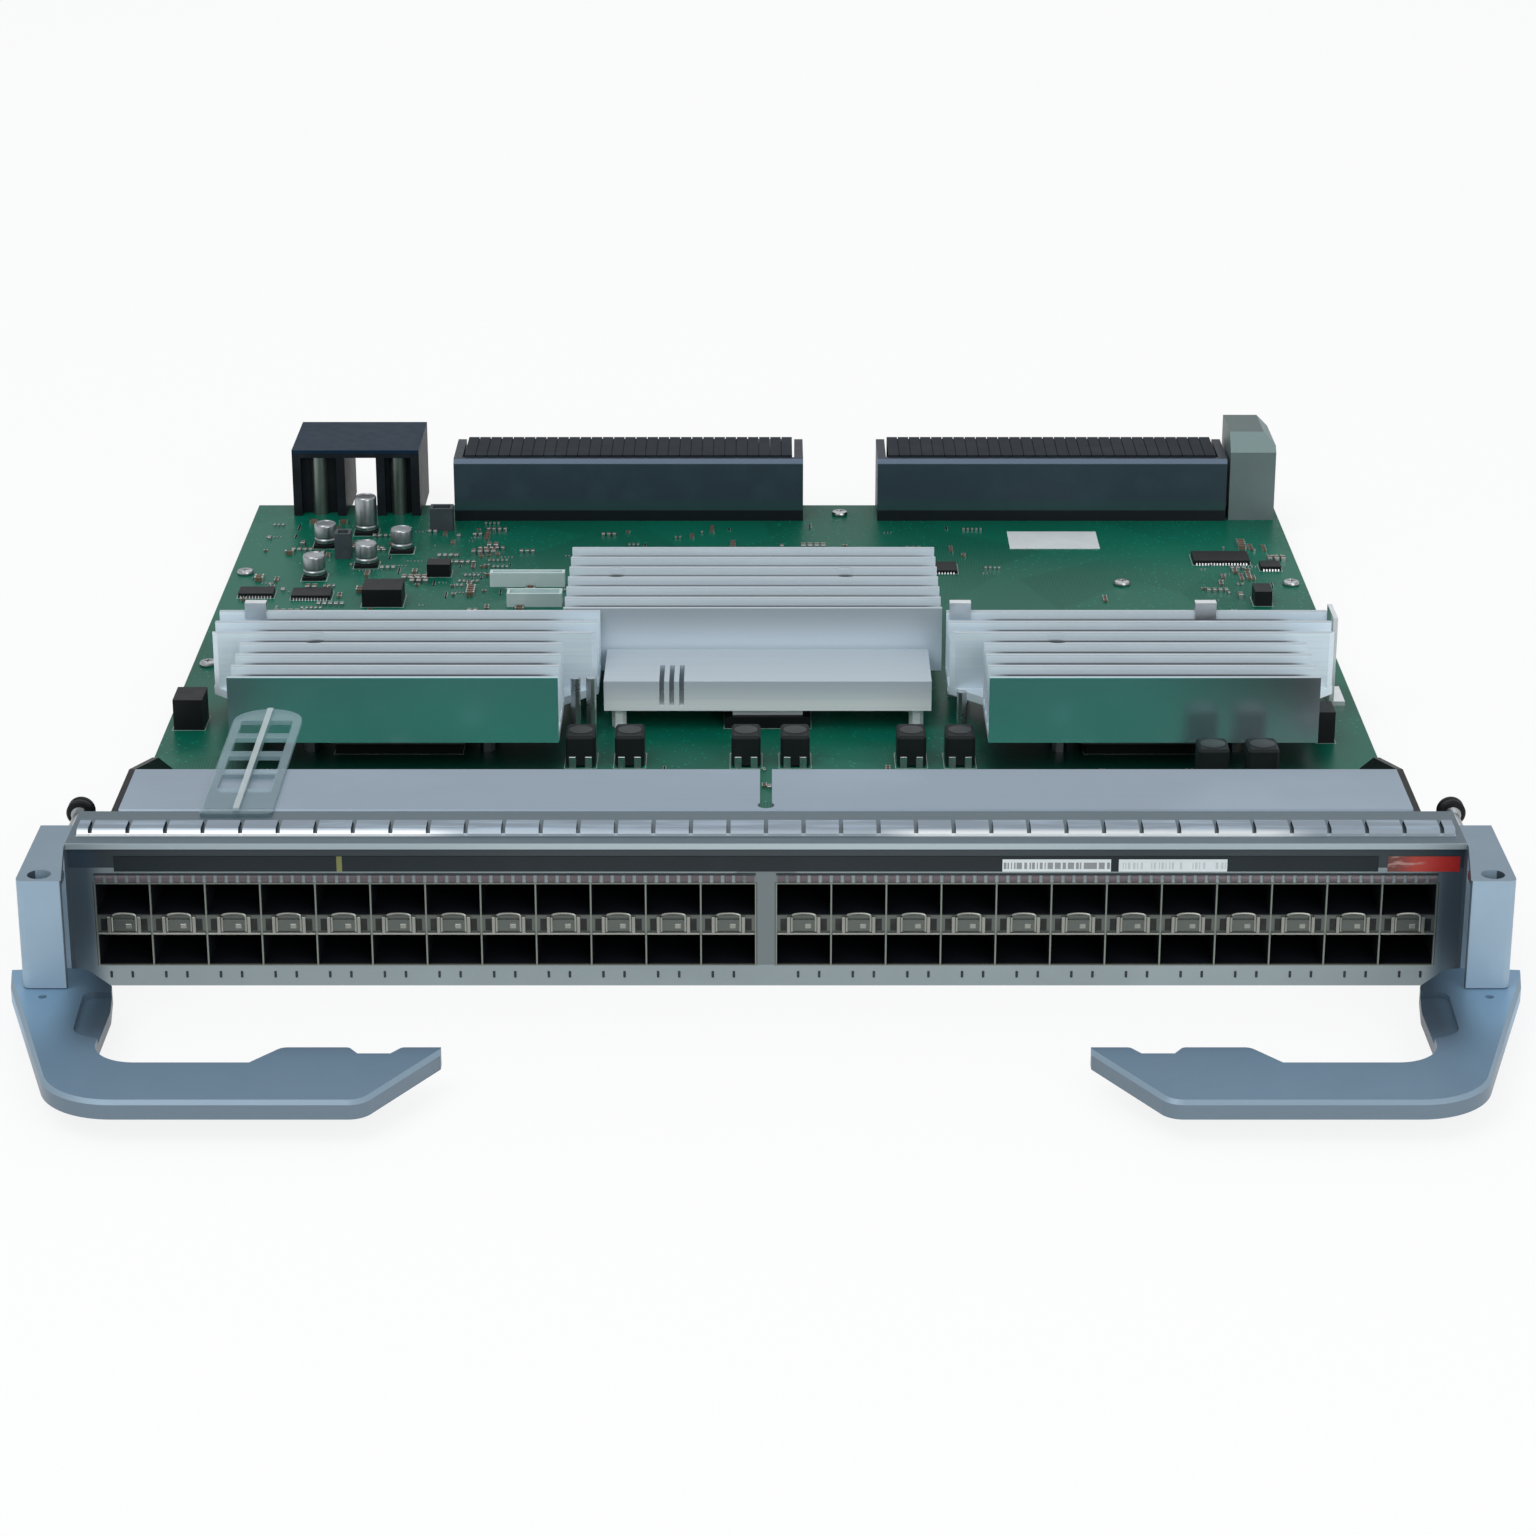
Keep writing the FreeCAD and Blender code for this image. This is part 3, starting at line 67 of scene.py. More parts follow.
# ---- arrays of points and faces ----
class Surface:
    """Points and faces of one mesh, held as arrays; paint is each face's material number."""

    def __init__(self, points, corners, counts, paint=0):
        self.points = np.asarray(points, float).reshape(-1, 3)
        self.corners = np.asarray(corners, int).ravel()
        self.counts = np.asarray(counts, int).ravel()
        self.paint = np.broadcast_to(paint, self.counts.shape).astype(int)

    def painted(self, number):
        """The same surface with another material number."""
        return Surface(self.points, self.corners, self.counts, number)

    def moved(self, offset):
        """The same surface carried by an offset."""
        return Surface(self.points + np.asarray(offset, float), self.corners, self.counts, self.paint)

    def mapped(self, matrix):
        """Points times a 3 by 3 matrix; a matrix that mirrors also turns each face round."""
        matrix = np.asarray(matrix, float)
        points = self.points @ matrix.T
        if np.linalg.det(matrix) > 0:
            return Surface(points, self.corners, self.counts, self.paint)
        starts = np.concatenate(([0], np.cumsum(self.counts)[:-1]))
        within = np.arange(len(self.corners)) - np.repeat(starts, self.counts)
        flipped = np.repeat(starts + self.counts - 1, self.counts) - within
        return Surface(points, self.corners[flipped], self.counts, self.paint)


def together(surfaces):
    """All surfaces in one, with each one's corner numbers shifted past the points before it."""
    shifts = np.cumsum([0] + [len(s.points) for s in surfaces[:-1]])
    return Surface(np.concatenate([s.points for s in surfaces]),
                   np.concatenate([s.corners + n for s, n in zip(surfaces, shifts)]),
                   np.concatenate([s.counts for s in surfaces]),
                   np.concatenate([s.paint for s in surfaces]))


def stamped(surface, places):
    """A copy of the surface at every place: points plus each offset, corner numbers shifted in step."""
    places = np.asarray(places, float).reshape(-1, 3)
    points = places[:, None, :] + surface.points[None, :, :]
    steps = np.arange(len(places))[:, None] * len(surface.points)
    return Surface(points, surface.corners[None, :] + steps, np.tile(surface.counts, len(places)),
                   np.tile(surface.paint, len(places)))


def both_sides(surface):
    """The surface and its mirror image across the middle of the card."""
    return together([surface, surface.mapped(np.diag((-1, 1, 1)))])


def cut_box_pattern():
    """A box whose edges and corners are cut: three points at each corner, 26 faces turned outwards."""
    signs = np.array(list(itertools.product((-1, 1), repeat=3)))
    full = np.eye(3)
    points = (signs[:, None, :] * (0.5 + 0.5 * full[None])).reshape(-1, 3)
    groups = [[3 * c + axis for c in range(8) if signs[c, axis] == side]
              for axis in range(3) for side in (-1, 1)]
    for a, b in itertools.combinations(range(8), 2):
        differs = np.flatnonzero(signs[a] != signs[b])
        if len(differs) == 1:
            others = [axis for axis in range(3) if axis != differs[0]]
            groups.append([3 * c + axis for c in (a, b) for axis in others])
    groups += [[3 * c, 3 * c + 1, 3 * c + 2] for c in range(8)]
    faces = []
    for group in groups:
        out = points[group].mean(0)
        side = np.cross(out, (0.31, 0.52, 0.79))
        up = np.cross(out, side)
        spread = points[group] - out
        faces.append([group[i] for i in np.argsort(np.arctan2(spread @ up, spread @ side))])
    return signs, faces


BOX_SIGNS, BOX_FACES = cut_box_pattern()
BOX_CORNERS = np.concatenate([np.array(face) for face in BOX_FACES])
BOX_COUNTS = np.array([len(face) for face in BOX_FACES])


def cut_boxes(low, high, edge):
    """Boxes between low and high corners; each point is a corner pulled in by the edge along two axes."""
    low = np.asarray(low, float).reshape(-1, 1, 1, 3)
    high = np.asarray(high, float).reshape(-1, 1, 1, 3)
    pull = edge * (1 - np.eye(3))[None, None]
    half = (high - low) / 2 - pull
    points = (low + high) / 2 + BOX_SIGNS[None, :, None, :] * half
    steps = np.arange(len(points))[:, None] * 3 * len(BOX_SIGNS)
    return Surface(points, BOX_CORNERS[None, :] + steps, np.tile(BOX_COUNTS, len(points)))


def loft(rings, caps=True):
    """Skin over rings of points, shape (rings, points, 3), with a flat face over each end ring."""
    rings = np.asarray(rings, float)
    count, size = rings.shape[:2]
    here = np.arange(count - 1)[:, None] * size + np.arange(size)[None, :]
    ahead = np.arange(count - 1)[:, None] * size + np.roll(np.arange(size), -1)[None, :]
    quads = np.stack([here, ahead, ahead + size, here + size], -1).reshape(-1)
    counts = np.full((count - 1) * size, 4)
    if caps:
        quads = np.concatenate([quads, np.arange(size)[::-1], (count - 1) * size + np.arange(size)])
        counts = np.append(counts, (size, size))
    return Surface(rings, quads, counts)


def turned(profile, steps):
    """Profile of (radius, height) pairs turned about Z: x = r cos a, y = r sin a, with flat ends."""
    profile = np.asarray(profile, float)
    angle = np.arange(steps) * 2 * np.pi / steps
    radius = profile[:, 0][:, None]
    rings = np.stack([radius * np.cos(angle), radius * np.sin(angle),
                      np.broadcast_to(profile[:, 1][:, None], (len(profile), steps))], -1)
    return loft(rings)


def swept(path, radius, sides):
    """Round tube along a path: each ring stands square to the path's local direction."""
    path = np.asarray(path, float)
    along = np.gradient(path, axis=0)
    along /= np.linalg.norm(along, axis=1, keepdims=True)
    helper = np.where(np.abs(along[:, 2:3]) < 0.9, (0.0, 0.0, 1.0), (1.0, 0.0, 0.0))
    side = np.cross(along, helper)
    side /= np.linalg.norm(side, axis=1, keepdims=True)
    up = np.cross(along, side)
    angle = np.arange(sides) * 2 * np.pi / sides
    around = side[:, None, :] * np.cos(angle)[None, :, None] + up[:, None, :] * np.sin(angle)[None, :, None]
    return loft(path[:, None, :] + radius * around)


def inset_ring(outline, distance):
    """A plan outline (anticlockwise) moved inwards: each point shifts along its two edges' mean normal."""
    outline = np.asarray(outline, float)
    edge = np.roll(outline, -1, 0) - outline
    edge /= np.linalg.norm(edge, axis=1, keepdims=True)
    inward = np.stack([-edge[:, 1], edge[:, 0]], -1)
    before = np.roll(inward, 1, 0)
    share = 1 + (inward * before).sum(1, keepdims=True)
    return outline + distance * (inward + before) / share


def slab(outline, z0, z1, edge):
    """A plan outline given thickness, with its upper and lower rims cut by the edge."""
    narrow = inset_ring(outline, edge)
    levels = ((narrow, z0), (outline, z0 + edge), (outline, z1 - edge), (narrow, z1))
    return loft([np.column_stack([ring, np.full(len(ring), z)]) for ring, z in levels])


Z_TO_Y = ((1, 0, 0), (0, 0, 1), (0, -1, 0))
Z_TO_X = ((0, 0, 1), (0, 1, 0), (-1, 0, 0))
Z_TO_MINUS_Y = ((1, 0, 0), (0, 0, -1), (0, 1, 0))
X_TO_Y = ((0, -1, 0), (1, 0, 0), (0, 0, 1))


def solids_of(node):
    """Boxes of a node's separate solids, as arrays of low and high corners: points that share an edge
    take the lowest number among them until no number changes."""
    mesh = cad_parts[node].data
    points = np.empty(len(mesh.vertices) * 3, np.float32)
    mesh.vertices.foreach_get("co", points)
    edges = np.empty(len(mesh.edges) * 2, np.int32)
    mesh.edges.foreach_get("vertices", edges)
    points = points.reshape(-1, 3)
    weld = 0.01 * MM
    merged, index = np.unique(np.round(points / weld).astype(int), axis=0, return_inverse=True)
    index = index.ravel()
    pairs = index[edges.reshape(-1, 2)]
    label = np.arange(len(merged))
    while True:
        least = label.copy()
        lower = np.minimum(label[pairs[:, 0]], label[pairs[:, 1]])
        np.minimum.at(least, pairs[:, 0], lower)
        np.minimum.at(least, pairs[:, 1], lower)
        least = least[least]
        if np.array_equal(least, label):
            break
        label = least
    names, group = np.unique(label[index], return_inverse=True)
    low = np.full((len(names), 3), np.inf)
    high = np.full((len(names), 3), -np.inf)
    np.minimum.at(low, group.ravel(), points)
    np.maximum.at(high, group.ravel(), points)
    return low, high


def corners_of(node):
    """Low and high corner of a frame node, as arrays."""
    low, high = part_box(node)
    return np.array(low), np.array(high)


def edge_of(node, end, axis):
    """One side of a node's box: its low or high end along an axis."""
    return float(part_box(node)[end][axis])


def centre_of(low, high):
    """Middle of a box, or of each of several."""
    return (low + high) / 2


def along_x(spots):
    """Places on the X axis."""
    return np.stack([spots, 0 * spots, 0 * spots], -1)


# ---- shader nodes written as expressions ----
class Wire:
    """An output of a finish's node. Arithmetic on it adds Math nodes."""

    def __init__(self, finish, socket):
        self.finish = finish
        self.socket = socket

    def maths(self, operation, *values):
        return self.finish.add("ShaderNodeMath", {"operation": operation}, dict(enumerate(values)))

    def __add__(self, other):
        return self.maths("ADD", self, other)

    __radd__ = __add__

    def __sub__(self, other):
        return self.maths("SUBTRACT", self, other)

    def __rsub__(self, other):
        return self.maths("SUBTRACT", other, self)

    def __mul__(self, other):
        return self.maths("MULTIPLY", self, other)

    __rmul__ = __mul__

    def __gt__(self, other):
        return self.maths("GREATER_THAN", self, other)

    def __lt__(self, other):
        return self.maths("LESS_THAN", self, other)

    def part(self):
        """Fraction above the whole number below."""
        return self.maths("FRACT", self)

    def size(self):
        """Absolute value."""
        return self.maths("ABSOLUTE", self)

    def most(self, other):
        return self.maths("MAXIMUM", self, other)

    def rise(self, low, high):
        """0 below low, 1 above high, and a smooth step between."""
        return self.finish.add("ShaderNodeMapRange", {"interpolation_type": "SMOOTHSTEP"},
                               {0: self, 1: low, 2: high})

    def pick(self, name):
        """Another output of the same node."""
        return Wire(self.finish, self.socket.node.outputs[name])

    def pick_index(self, index):
        """Another output of the same node, by number."""
        return Wire(self.finish, self.socket.node.outputs[index])


class Finish:
    """One material: its nodes are added through add(), and surface() closes it."""

    def __init__(self, name):
        self.material = bpy.data.materials.new(name)
        self.material.use_nodes = True
        self.tree = self.material.node_tree
        self.tree.nodes.clear()
        self.place = self.add("ShaderNodeTexCoord").pick("Object")
        self.heights = []

    def add(self, kind, settings=None, inputs=None):
        """A node of that kind: its settings first, then the values or links of its sockets."""
        node = self.tree.nodes.new(kind)
        for key, value in (settings or {}).items():
            if key == "stops":
                ramp = node.color_ramp
                while len(ramp.elements) < len(value):
                    ramp.elements.new(1.0)
                for element, (position, colour) in zip(ramp.elements, value):
                    element.position = position
                    element.color = (*colour, 1.0)
            else:
                setattr(node, key, value)
        for key, value in (inputs or {}).items():
            if isinstance(value, Wire):
                self.tree.links.new(value.socket, node.inputs[key])
            else:
                node.inputs[key].default_value = value
        return Wire(self, node.outputs[0]) if len(node.outputs) else None

    def axes(self):
        """X, Y and Z of the point, in metres."""
        split = self.add("ShaderNodeSeparateXYZ", inputs={0: self.place})
        return split.pick("X"), split.pick("Y"), split.pick("Z")

    def stretched(self, scale):
        """The point's place times a scale for each axis."""
        return self.add("ShaderNodeVectorMath", {"operation": "MULTIPLY"}, {0: self.place, 1: scale})

    def noise(self, scale, detail=2.0, rough=0.5):
        """Cloudy value between 0 and 1; the scale is one number or one for each axis, in waves a metre."""
        if np.ndim(scale):
            where, rate = self.stretched(scale), 1.0
        else:
            where, rate = self.place, scale
        return self.add("ShaderNodeTexNoise", inputs={"Vector": where, "Scale": rate, "Detail": detail,
                                                      "Roughness": rough})

    def cells(self, scale, output="Distance"):
        """Cell pattern: the distance to the nearest seed point, or that cell's colour."""
        return self.add("ShaderNodeTexVoronoi", inputs={"Vector": self.place, "Scale": scale}).pick(output)

    def blend(self, factor, first, second):
        """Colour between two colours."""
        colours = [value if isinstance(value, Wire) else (*value, 1.0) for value in (first, second)]
        return self.add("ShaderNodeMix", {"data_type": "RGBA"},
                        {0: factor, 6: colours[0], 7: colours[1]}).pick_index(2)

    def ramp(self, factor, stops):
        """Colour read from a row of stops."""
        return self.add("ShaderNodeValToRGB", {"stops": stops}, {0: factor})

    def bump(self, height, distance):
        """Adds relief: height from 0 to 1 stands for that distance in metres."""
        inputs = {"Height": height, "Distance": distance}
        if self.heights:
            inputs["Normal"] = self.heights[-1]
        self.heights.append(self.add("ShaderNodeBump", inputs=inputs))

    def surface(self, **sockets):
        """Closes the material with one Principled shader; underscores in names stand for spaces."""
        inputs = {key.replace("_", " "): value for key, value in sockets.items()}
        if self.heights:
            inputs["Normal"] = self.heights[-1]
        shader = self.add("ShaderNodeBsdfPrincipled", inputs=inputs)
        self.add("ShaderNodeOutputMaterial", inputs={"Surface": shader})
        return self.material


# ---- settings a user may change ----
def colour_setting(label, words, default):
    """A colour property."""
    return FloatVectorProperty(name=label, description=words, subtype="COLOR", size=3, min=0.0, max=1.0,
                               default=default)


def length_setting(label, words, default):
    """A length property in metres."""
    return FloatProperty(name=label, description=words, default=default, min=0.0, unit="LENGTH", precision=5)


class CardColours(PropertyGroup):
    """Colours of the card's finishes, as linear values."""
    board: colour_setting("Board", "Solder mask over bare laminate", (0.001, 0.082, 0.050))
    board_copper: colour_setting("Board copper", "Solder mask over copper", (0.002, 0.118, 0.074))
    cover: colour_setting("Cover", "Plated sheet of the top cover", (0.30, 0.375, 0.455))
    panel: colour_setting("Panel", "Front panel metal", (0.30, 0.36, 0.38))
    bracket: colour_setting("Bracket", "Paint on the end brackets", (0.33, 0.45, 0.56))
    lever: colour_setting("Lever", "Paint on the ejector levers", (0.142, 0.242, 0.345))
    heatsink: colour_setting("Heatsink", "Anodised extrusion", (0.50, 0.58, 0.64))
    cage: colour_setting("Cage", "Plated sheet of the port cages", (0.22, 0.25, 0.22))
    dark_plastic: colour_setting("Dark plastic", "Moulded connectors", (0.024, 0.034, 0.046))
    strip: colour_setting("Marking strip", "Dark film above the ports", (0.012, 0.020, 0.024))
    red_label: colour_setting("Red label", "End label", (0.55, 0.020, 0.016))
    tag: colour_setting("Pull tag", "Clear tinted moulding", (0.30, 0.52, 0.60))


class FinePartSizes(PropertyGroup):
    """Sizes and counts of the fine parts."""
    small_parts: IntProperty(name="Small parts", default=1500, min=0, max=4000,
                             description="Chip capacitors and resistors tried on the board")
    seed: IntProperty(name="Seed", description="Start of the random places", default=11, min=0)
    springs_per_port: IntProperty(name="Springs per port", description="Ground springs over each port",
                                  default=5, min=1, max=12)


class StageSettings(PropertyGroup):
    """Camera, lamps and floor."""
    lens: FloatProperty(name="Lens", description="Focal length", default=91.24, min=10.0, unit="CAMERA")
    distance: length_setting("Distance", "Camera in front of the panel's face", 0.930)
    height: length_setting("Height", "Camera above the floor", 0.414)
    pitch: FloatProperty(name="Pitch", description="Camera tilt below the horizon", subtype="ANGLE",
                         default=math.radians(20.8))
    floor: colour_setting("Floor", "Floor and backdrop", (0.93, 0.95, 0.94))
    world: FloatProperty(name="World light", description="Strength of the even light", default=0.55, min=0.0)


# ---- finishes ----
def fine_grain(finish, scale, depth):
    """Powder or casting texture as relief."""
    finish.bump(finish.noise(scale, 3.0, 0.6), depth)


def shade(colour, factor):
    """A colour times a number, held under one."""
    return tuple(min(1.0, channel * factor) for channel in colour)


def wear(finish, base, light, scale):
    """Slow cloudy change between two close colours."""
    return finish.blend(finish.noise(scale, 4.0, 0.55).rise(0.45, 0.75), base, light)


def worn(finish, colour, dark, light, scale):
    """Slow cloudy change between two shades of one colour."""
    return wear(finish, shade(colour, dark), shade(colour, light), scale)


def between(value, low, high):
    """1 where a value lies between two limits, else 0."""
    return (value > low) * (value < high)


def facing(finish, axis):
    """One part of the face's own direction, -1 to 1."""
    normal = finish.add("ShaderNodeNewGeometry").pick("Normal")
    return finish.add("ShaderNodeSeparateXYZ", inputs={0: normal}).pick(axis)


def rolling_lines(finish, along):
    """Long faint lines that the mill leaves along one axis: waves a metre, few along and many across."""
    scale = [2400.0, 2400.0, 2400.0]
    scale[along] = 18.0
    return finish.noise(tuple(scale), 3.0, 0.7)


def drawn_lines(finish):
    """Faint lines that the die leaves along X: waves a metre."""
    return finish.noise((8.0, 900.0, 900.0), 2.0, 0.6)


def board_finish(colours):
    """Solder mask: copper areas, fine traces and vias show through it, it carries painted deep shade under
    the side heatsinks and the cover's slot, and cut edges show the laminate."""
    patch_scale, trace_scale, via_scale = 26.0, 1100.0, 420.0
    # Colour of the painted shade on the board.
    painted_shade = (0.001, 0.008, 0.006)
    laminate = (0.16, 0.20, 0.08)
    finish = Finish("board_mask")
    x, y = finish.axes()[:2]
    zone = finish.add("ShaderNodeSeparateColor", inputs={0: finish.cells(patch_scale, "Color")})
    straight = zone.pick("Red") > 0.5
    across = x * straight + y * (1 - straight) + (x + y) * (zone.pick("Blue") > 0.72)
    trace = ((across * trace_scale).part() - 0.5).size().rise(0.14, 0.2)
    copper = (zone.pick("Green") > 0.55).most(trace)
    vias = (finish.cells(via_scale) < 0.16) * (zone.pick("Blue") > 0.35)
    mask = finish.blend(copper, colours.board, colours.board_copper)
    paler = finish.blend(0.5, mask, shade(colours.board_copper, 1.5))
    mask = finish.blend(finish.noise(9.0, 2.0).rise(0.4, 0.7), mask, paler)
    mask = finish.blend(vias, mask, shade(colours.board_copper, 2.4))
    sinks = [corners_of(side + "_heatsink") for side, _ in SIDES]
    front, rear = sinks[0][LOW][Y], sinks[0][HIGH][Y]
    # Painted shade on the board under the side heatsinks.
    under = y.rise(front - 6 * MM, front - 1 * MM) * (1 - y.rise(rear - 12 * MM, rear)) * 0.8
    spans = [x.rise(low[X] + 2 * MM, low[X] + 14 * MM) * (1 - x.rise(high[X] - 14 * MM, high[X] - 2 * MM))
             for low, high in sinks]
    mask = finish.blend(under * (spans[0] + spans[1]), mask, painted_shade)
    # Painted shade on the board seen through the cover's slot.
    covered = edge_of("top_cover", HIGH, Y)
    slot = (1 - x.size().rise(6 * MM, 10 * MM)) * (1 - y.rise(covered - 10 * MM, covered - 2 * MM))
    mask = finish.blend(slot * 0.9, mask, painted_shade)
    finish.bump(copper, 0.00003)
    edge = facing(finish, "Z").size() < 0.5
    colour = finish.blend(edge, mask, laminate)
    return finish.surface(Base_Color=colour, Roughness=0.34 + edge * 0.4, Specular_IOR_Level=0.13)


def sheet_finish(name, colour, rough, along, metallic):
    """Plated sheet metal: rolling lines along one axis and slow cloudy change."""
    finish = Finish(name)
    lines = rolling_lines(finish, along)
    tone = worn(finish, colour, 0.92, 1.08, 14.0)
    tone = finish.blend(lines.rise(0.4, 0.75) * 0.4, tone, shade(colour, 1.12))
    finish.bump(lines, 0.000008)
    return finish.surface(Base_Color=tone, Roughness=rough + (lines - 0.5) * 0.18, Metallic=metallic)


def panel_finish(colours):
    """Plated panel: its lip carries a painted highlight, its top painted shade, and its face painted shade
    under the lip, at both ends and between the windows."""
    finish = Finish("panel_plated")
    x, y, z = finish.axes()
    lines = rolling_lines(finish, X)
    lip, top = edge_of("front_panel", LOW, Y), edge_of("front_panel", HIGH, Z)
    face = edge_of("left_cage_shell", LOW, Y)
    on_face = between(y, face - 0.1 * MM, face + 0.1 * MM)
    under_lip = between(z, edge_of("label_strip", LOW, Z) + 1 * MM, top - 1.6 * MM) * on_face
    end = x.size().rise(170.5 * MM, 176.0 * MM) * on_face
    post = (1 - x.size().rise(7.0 * MM, 8.5 * MM)) * on_face * (z > edge_of("cage_floors", HIGH, Z))
    tone = worn(finish, colours.panel, 0.92, 1.06, 14.0)
    # Painted shade: the panel's top face is darkened.
    tone = finish.blend((z > top - 0.1 * MM) * 0.8, tone, (0.055, 0.095, 0.125))
    # Painted shadow on the face under the lip.
    tone = finish.blend(under_lip * 0.85, tone, (0.016, 0.024, 0.032))
    # Painted shade on the face at both ends, by the brackets.
    tone = finish.blend(end * 0.8, tone, (0.052, 0.090, 0.130))
    # Painted shade on the post between the windows.
    tone = finish.blend(post * (1 - under_lip), tone, shade(colours.panel, 0.58))
    # Painted highlight along the lip's front face.
    tone = finish.blend(y < lip + 0.3 * MM, tone, shade(colours.panel, 1.4))
    finish.bump(lines, 0.000008)
    return finish.surface(Base_Color=tone, Roughness=0.4 + (lines - 0.5) * 0.18, Metallic=0.6)


def cage_finish(name, colour):
    """Plated cage sheet: bright along the cut front edges and at the rear wall, and inside the ports dull
    with dark painted shade."""
    finish = Finish(name)
    y = finish.axes()[Y]
    low, high = corners_of("left_cage_shell")
    lines = rolling_lines(finish, Y)
    # Painted shade inside the ports, from just behind the front edge to near the rear wall.
    inside = y.rise(low[Y] + 0.2 * MM, low[Y] + 1.0 * MM) * (y < high[Y] - 1.0 * MM)
    tone = finish.blend(lines.rise(0.4, 0.75) * 0.4, colour, shade(colour, 1.25))
    tone = finish.blend(inside, tone, (0.006, 0.008, 0.012))
    return finish.surface(Base_Color=tone, Roughness=0.4 + inside * 0.4, Metallic=0.7 - inside * 0.7,
                          Specular_IOR_Level=0.1)


def finger_finish(colours):
    """Spring strip: the front ramps carry a painted highlight in two stretches and a dimmer tone without it
    elsewhere; the flats behind them are smeared."""
    finish = Finish("finger_strip")
    x, y = finish.axes()[:2]
    front = edge_of("top_emi_fingers", LOW, Y)
    flat = y.rise(front + 1.6 * MM, front + 2.6 * MM)
    smear = finish.noise((30.0, 260.0, 30.0), 3.0, 0.6).rise(0.4, 0.7)
    dull = finish.blend(smear, shade(colours.cover, 0.75), shade(colours.cover, 1.15))
    # Painted highlight on the front ramps, left out in the middle and at the right end, where they get a
    # dimmer tone.
    middle = x.rise(-92 * MM, -76 * MM) * (1 - x.rise(26 * MM, 42 * MM))
    ramps_without_highlight = middle + x.rise(128 * MM, 144 * MM)
    ramps = finish.blend(ramps_without_highlight, (0.80, 0.84, 0.86), (0.36, 0.42, 0.47))
    tone = finish.blend(flat, ramps, dull)
    return finish.surface(Base_Color=tone, Roughness=0.3 + flat * 0.12, Metallic=0.55)


def painted_finish(name, colour, rough=0.42, grain=0.00002, top=0.62, inner=0.0):
    """Satin paint over a die casting: orange peel, rubbed patches, painted shade on faces that look up and a
    painted highlight along cut edges. The inner amount is the strength of the painted shade on the faces
    turned to the ports."""
    finish = Finish(name)
    x = finish.axes()[X]
    rise = facing(finish, "Z")
    # Painted shade: faces that look up get this darker copy of the paint colour.
    thin = worn(finish, colour, top, top * 1.1, 35.0)
    tone = worn(finish, colour, 0.95, 1.06, 35.0)
    tone = finish.blend(rise.rise(0.5, 0.95), tone, thin)
    # Painted highlight on the cut edges, whose faces look half up.
    tone = finish.blend(between(rise, 0.55, 0.85), tone, shade(colour, 1.7))
    if inner:
        # Painted shade on the faces turned to the ports.
        inwards = x * facing(finish, "X") < -90 * MM
        tone = finish.blend(inwards * inner, tone, shade(colour, 0.12))
    fine_grain(finish, 1400.0, grain)
    return finish.surface(Base_Color=tone, Roughness=rough + (finish.noise(90.0) - 0.5) * 0.12, Metallic=0.2,
                          Specular_IOR_Level=0.35)


def plastic_finish(name, colour, rough, grain=0.00001, gloss=0.25):
    """Moulded plastic: fine grain and a little cloudiness."""
    finish = Finish(name)
    tone = worn(finish, colour, 0.85, 1.2, 120.0)
    fine_grain(finish, 2600.0, grain)
    return finish.surface(Base_Color=tone, Roughness=rough + (finish.noise(240.0) - 0.5) * 0.15,
                          Specular_IOR_Level=gloss)


def connector_finish(colours, node):
    """Moulded connector: slate top, a paler blue painted light on the front, a faint painted green reflection
    low down on it, a near-black painted shadow at its foot and a painted highlight along the front top edge."""
    finish = Finish(node + "_moulding")
    y, z = finish.axes()[Y:]
    low, high = corners_of(node)
    tone = worn(finish, colours.dark_plastic, 0.9, 1.2, 90.0)
    # Painted light: the front gets a paler blue copy of the moulding colour.
    front = y < low[Y] + 0.1 * MM
    tone = finish.blend(front, tone, wear(finish, (0.027, 0.049, 0.065), (0.033, 0.059, 0.079), 90.0))
    above_foot = z.rise(low[Z] + 6.0 * MM, low[Z] + 6.6 * MM)
    band = above_foot * (1 - z.rise(low[Z] + 7.5 * MM, low[Z] + 11.5 * MM))
    # Painted reflection of the green board, in a band low on the front.
    tone = finish.blend(front * band * 0.75, tone, (0.022, 0.066, 0.062))
    # Painted shadow, near black, over the front's foot.
    tone = finish.blend(front * (1 - above_foot) * 0.9, tone, (0.003, 0.005, 0.006))
    # Painted highlight along the front top edge.
    edge = between(z, high[Z] - 1.7 * MM, high[Z] - 0.1 * MM) * (y < low[Y] + 1.6 * MM)
    tone = finish.blend(edge * 0.8, tone, (0.16, 0.22, 0.30))
    return finish.surface(Base_Color=tone, Roughness=0.45 + (finish.noise(240.0) - 0.5) * 0.15,
                          Specular_IOR_Level=0.25)


def power_finish(colours):
    """Power connector: slate top, and near-black painted shade over the body below it, between its legs too.
    """
    finish = Finish("power_moulding")
    z = finish.axes()[Z]
    top = edge_of("power_connector", HIGH, Z)
    slate = wear(finish, (0.002, 0.018, 0.042), (0.004, 0.026, 0.055), 60.0)
    # Painted shade: the body below the top is a darker copy of the moulding colour.
    tone = worn(finish, colours.dark_plastic, 0.3, 0.5, 120.0)
    tone = finish.blend(z.rise(top - 1.4 * MM, top - 1.0 * MM), tone, slate)
    return finish.surface(Base_Color=tone, Roughness=0.5 + (finish.noise(240.0) - 0.5) * 0.15,
                          Specular_IOR_Level=0.15)


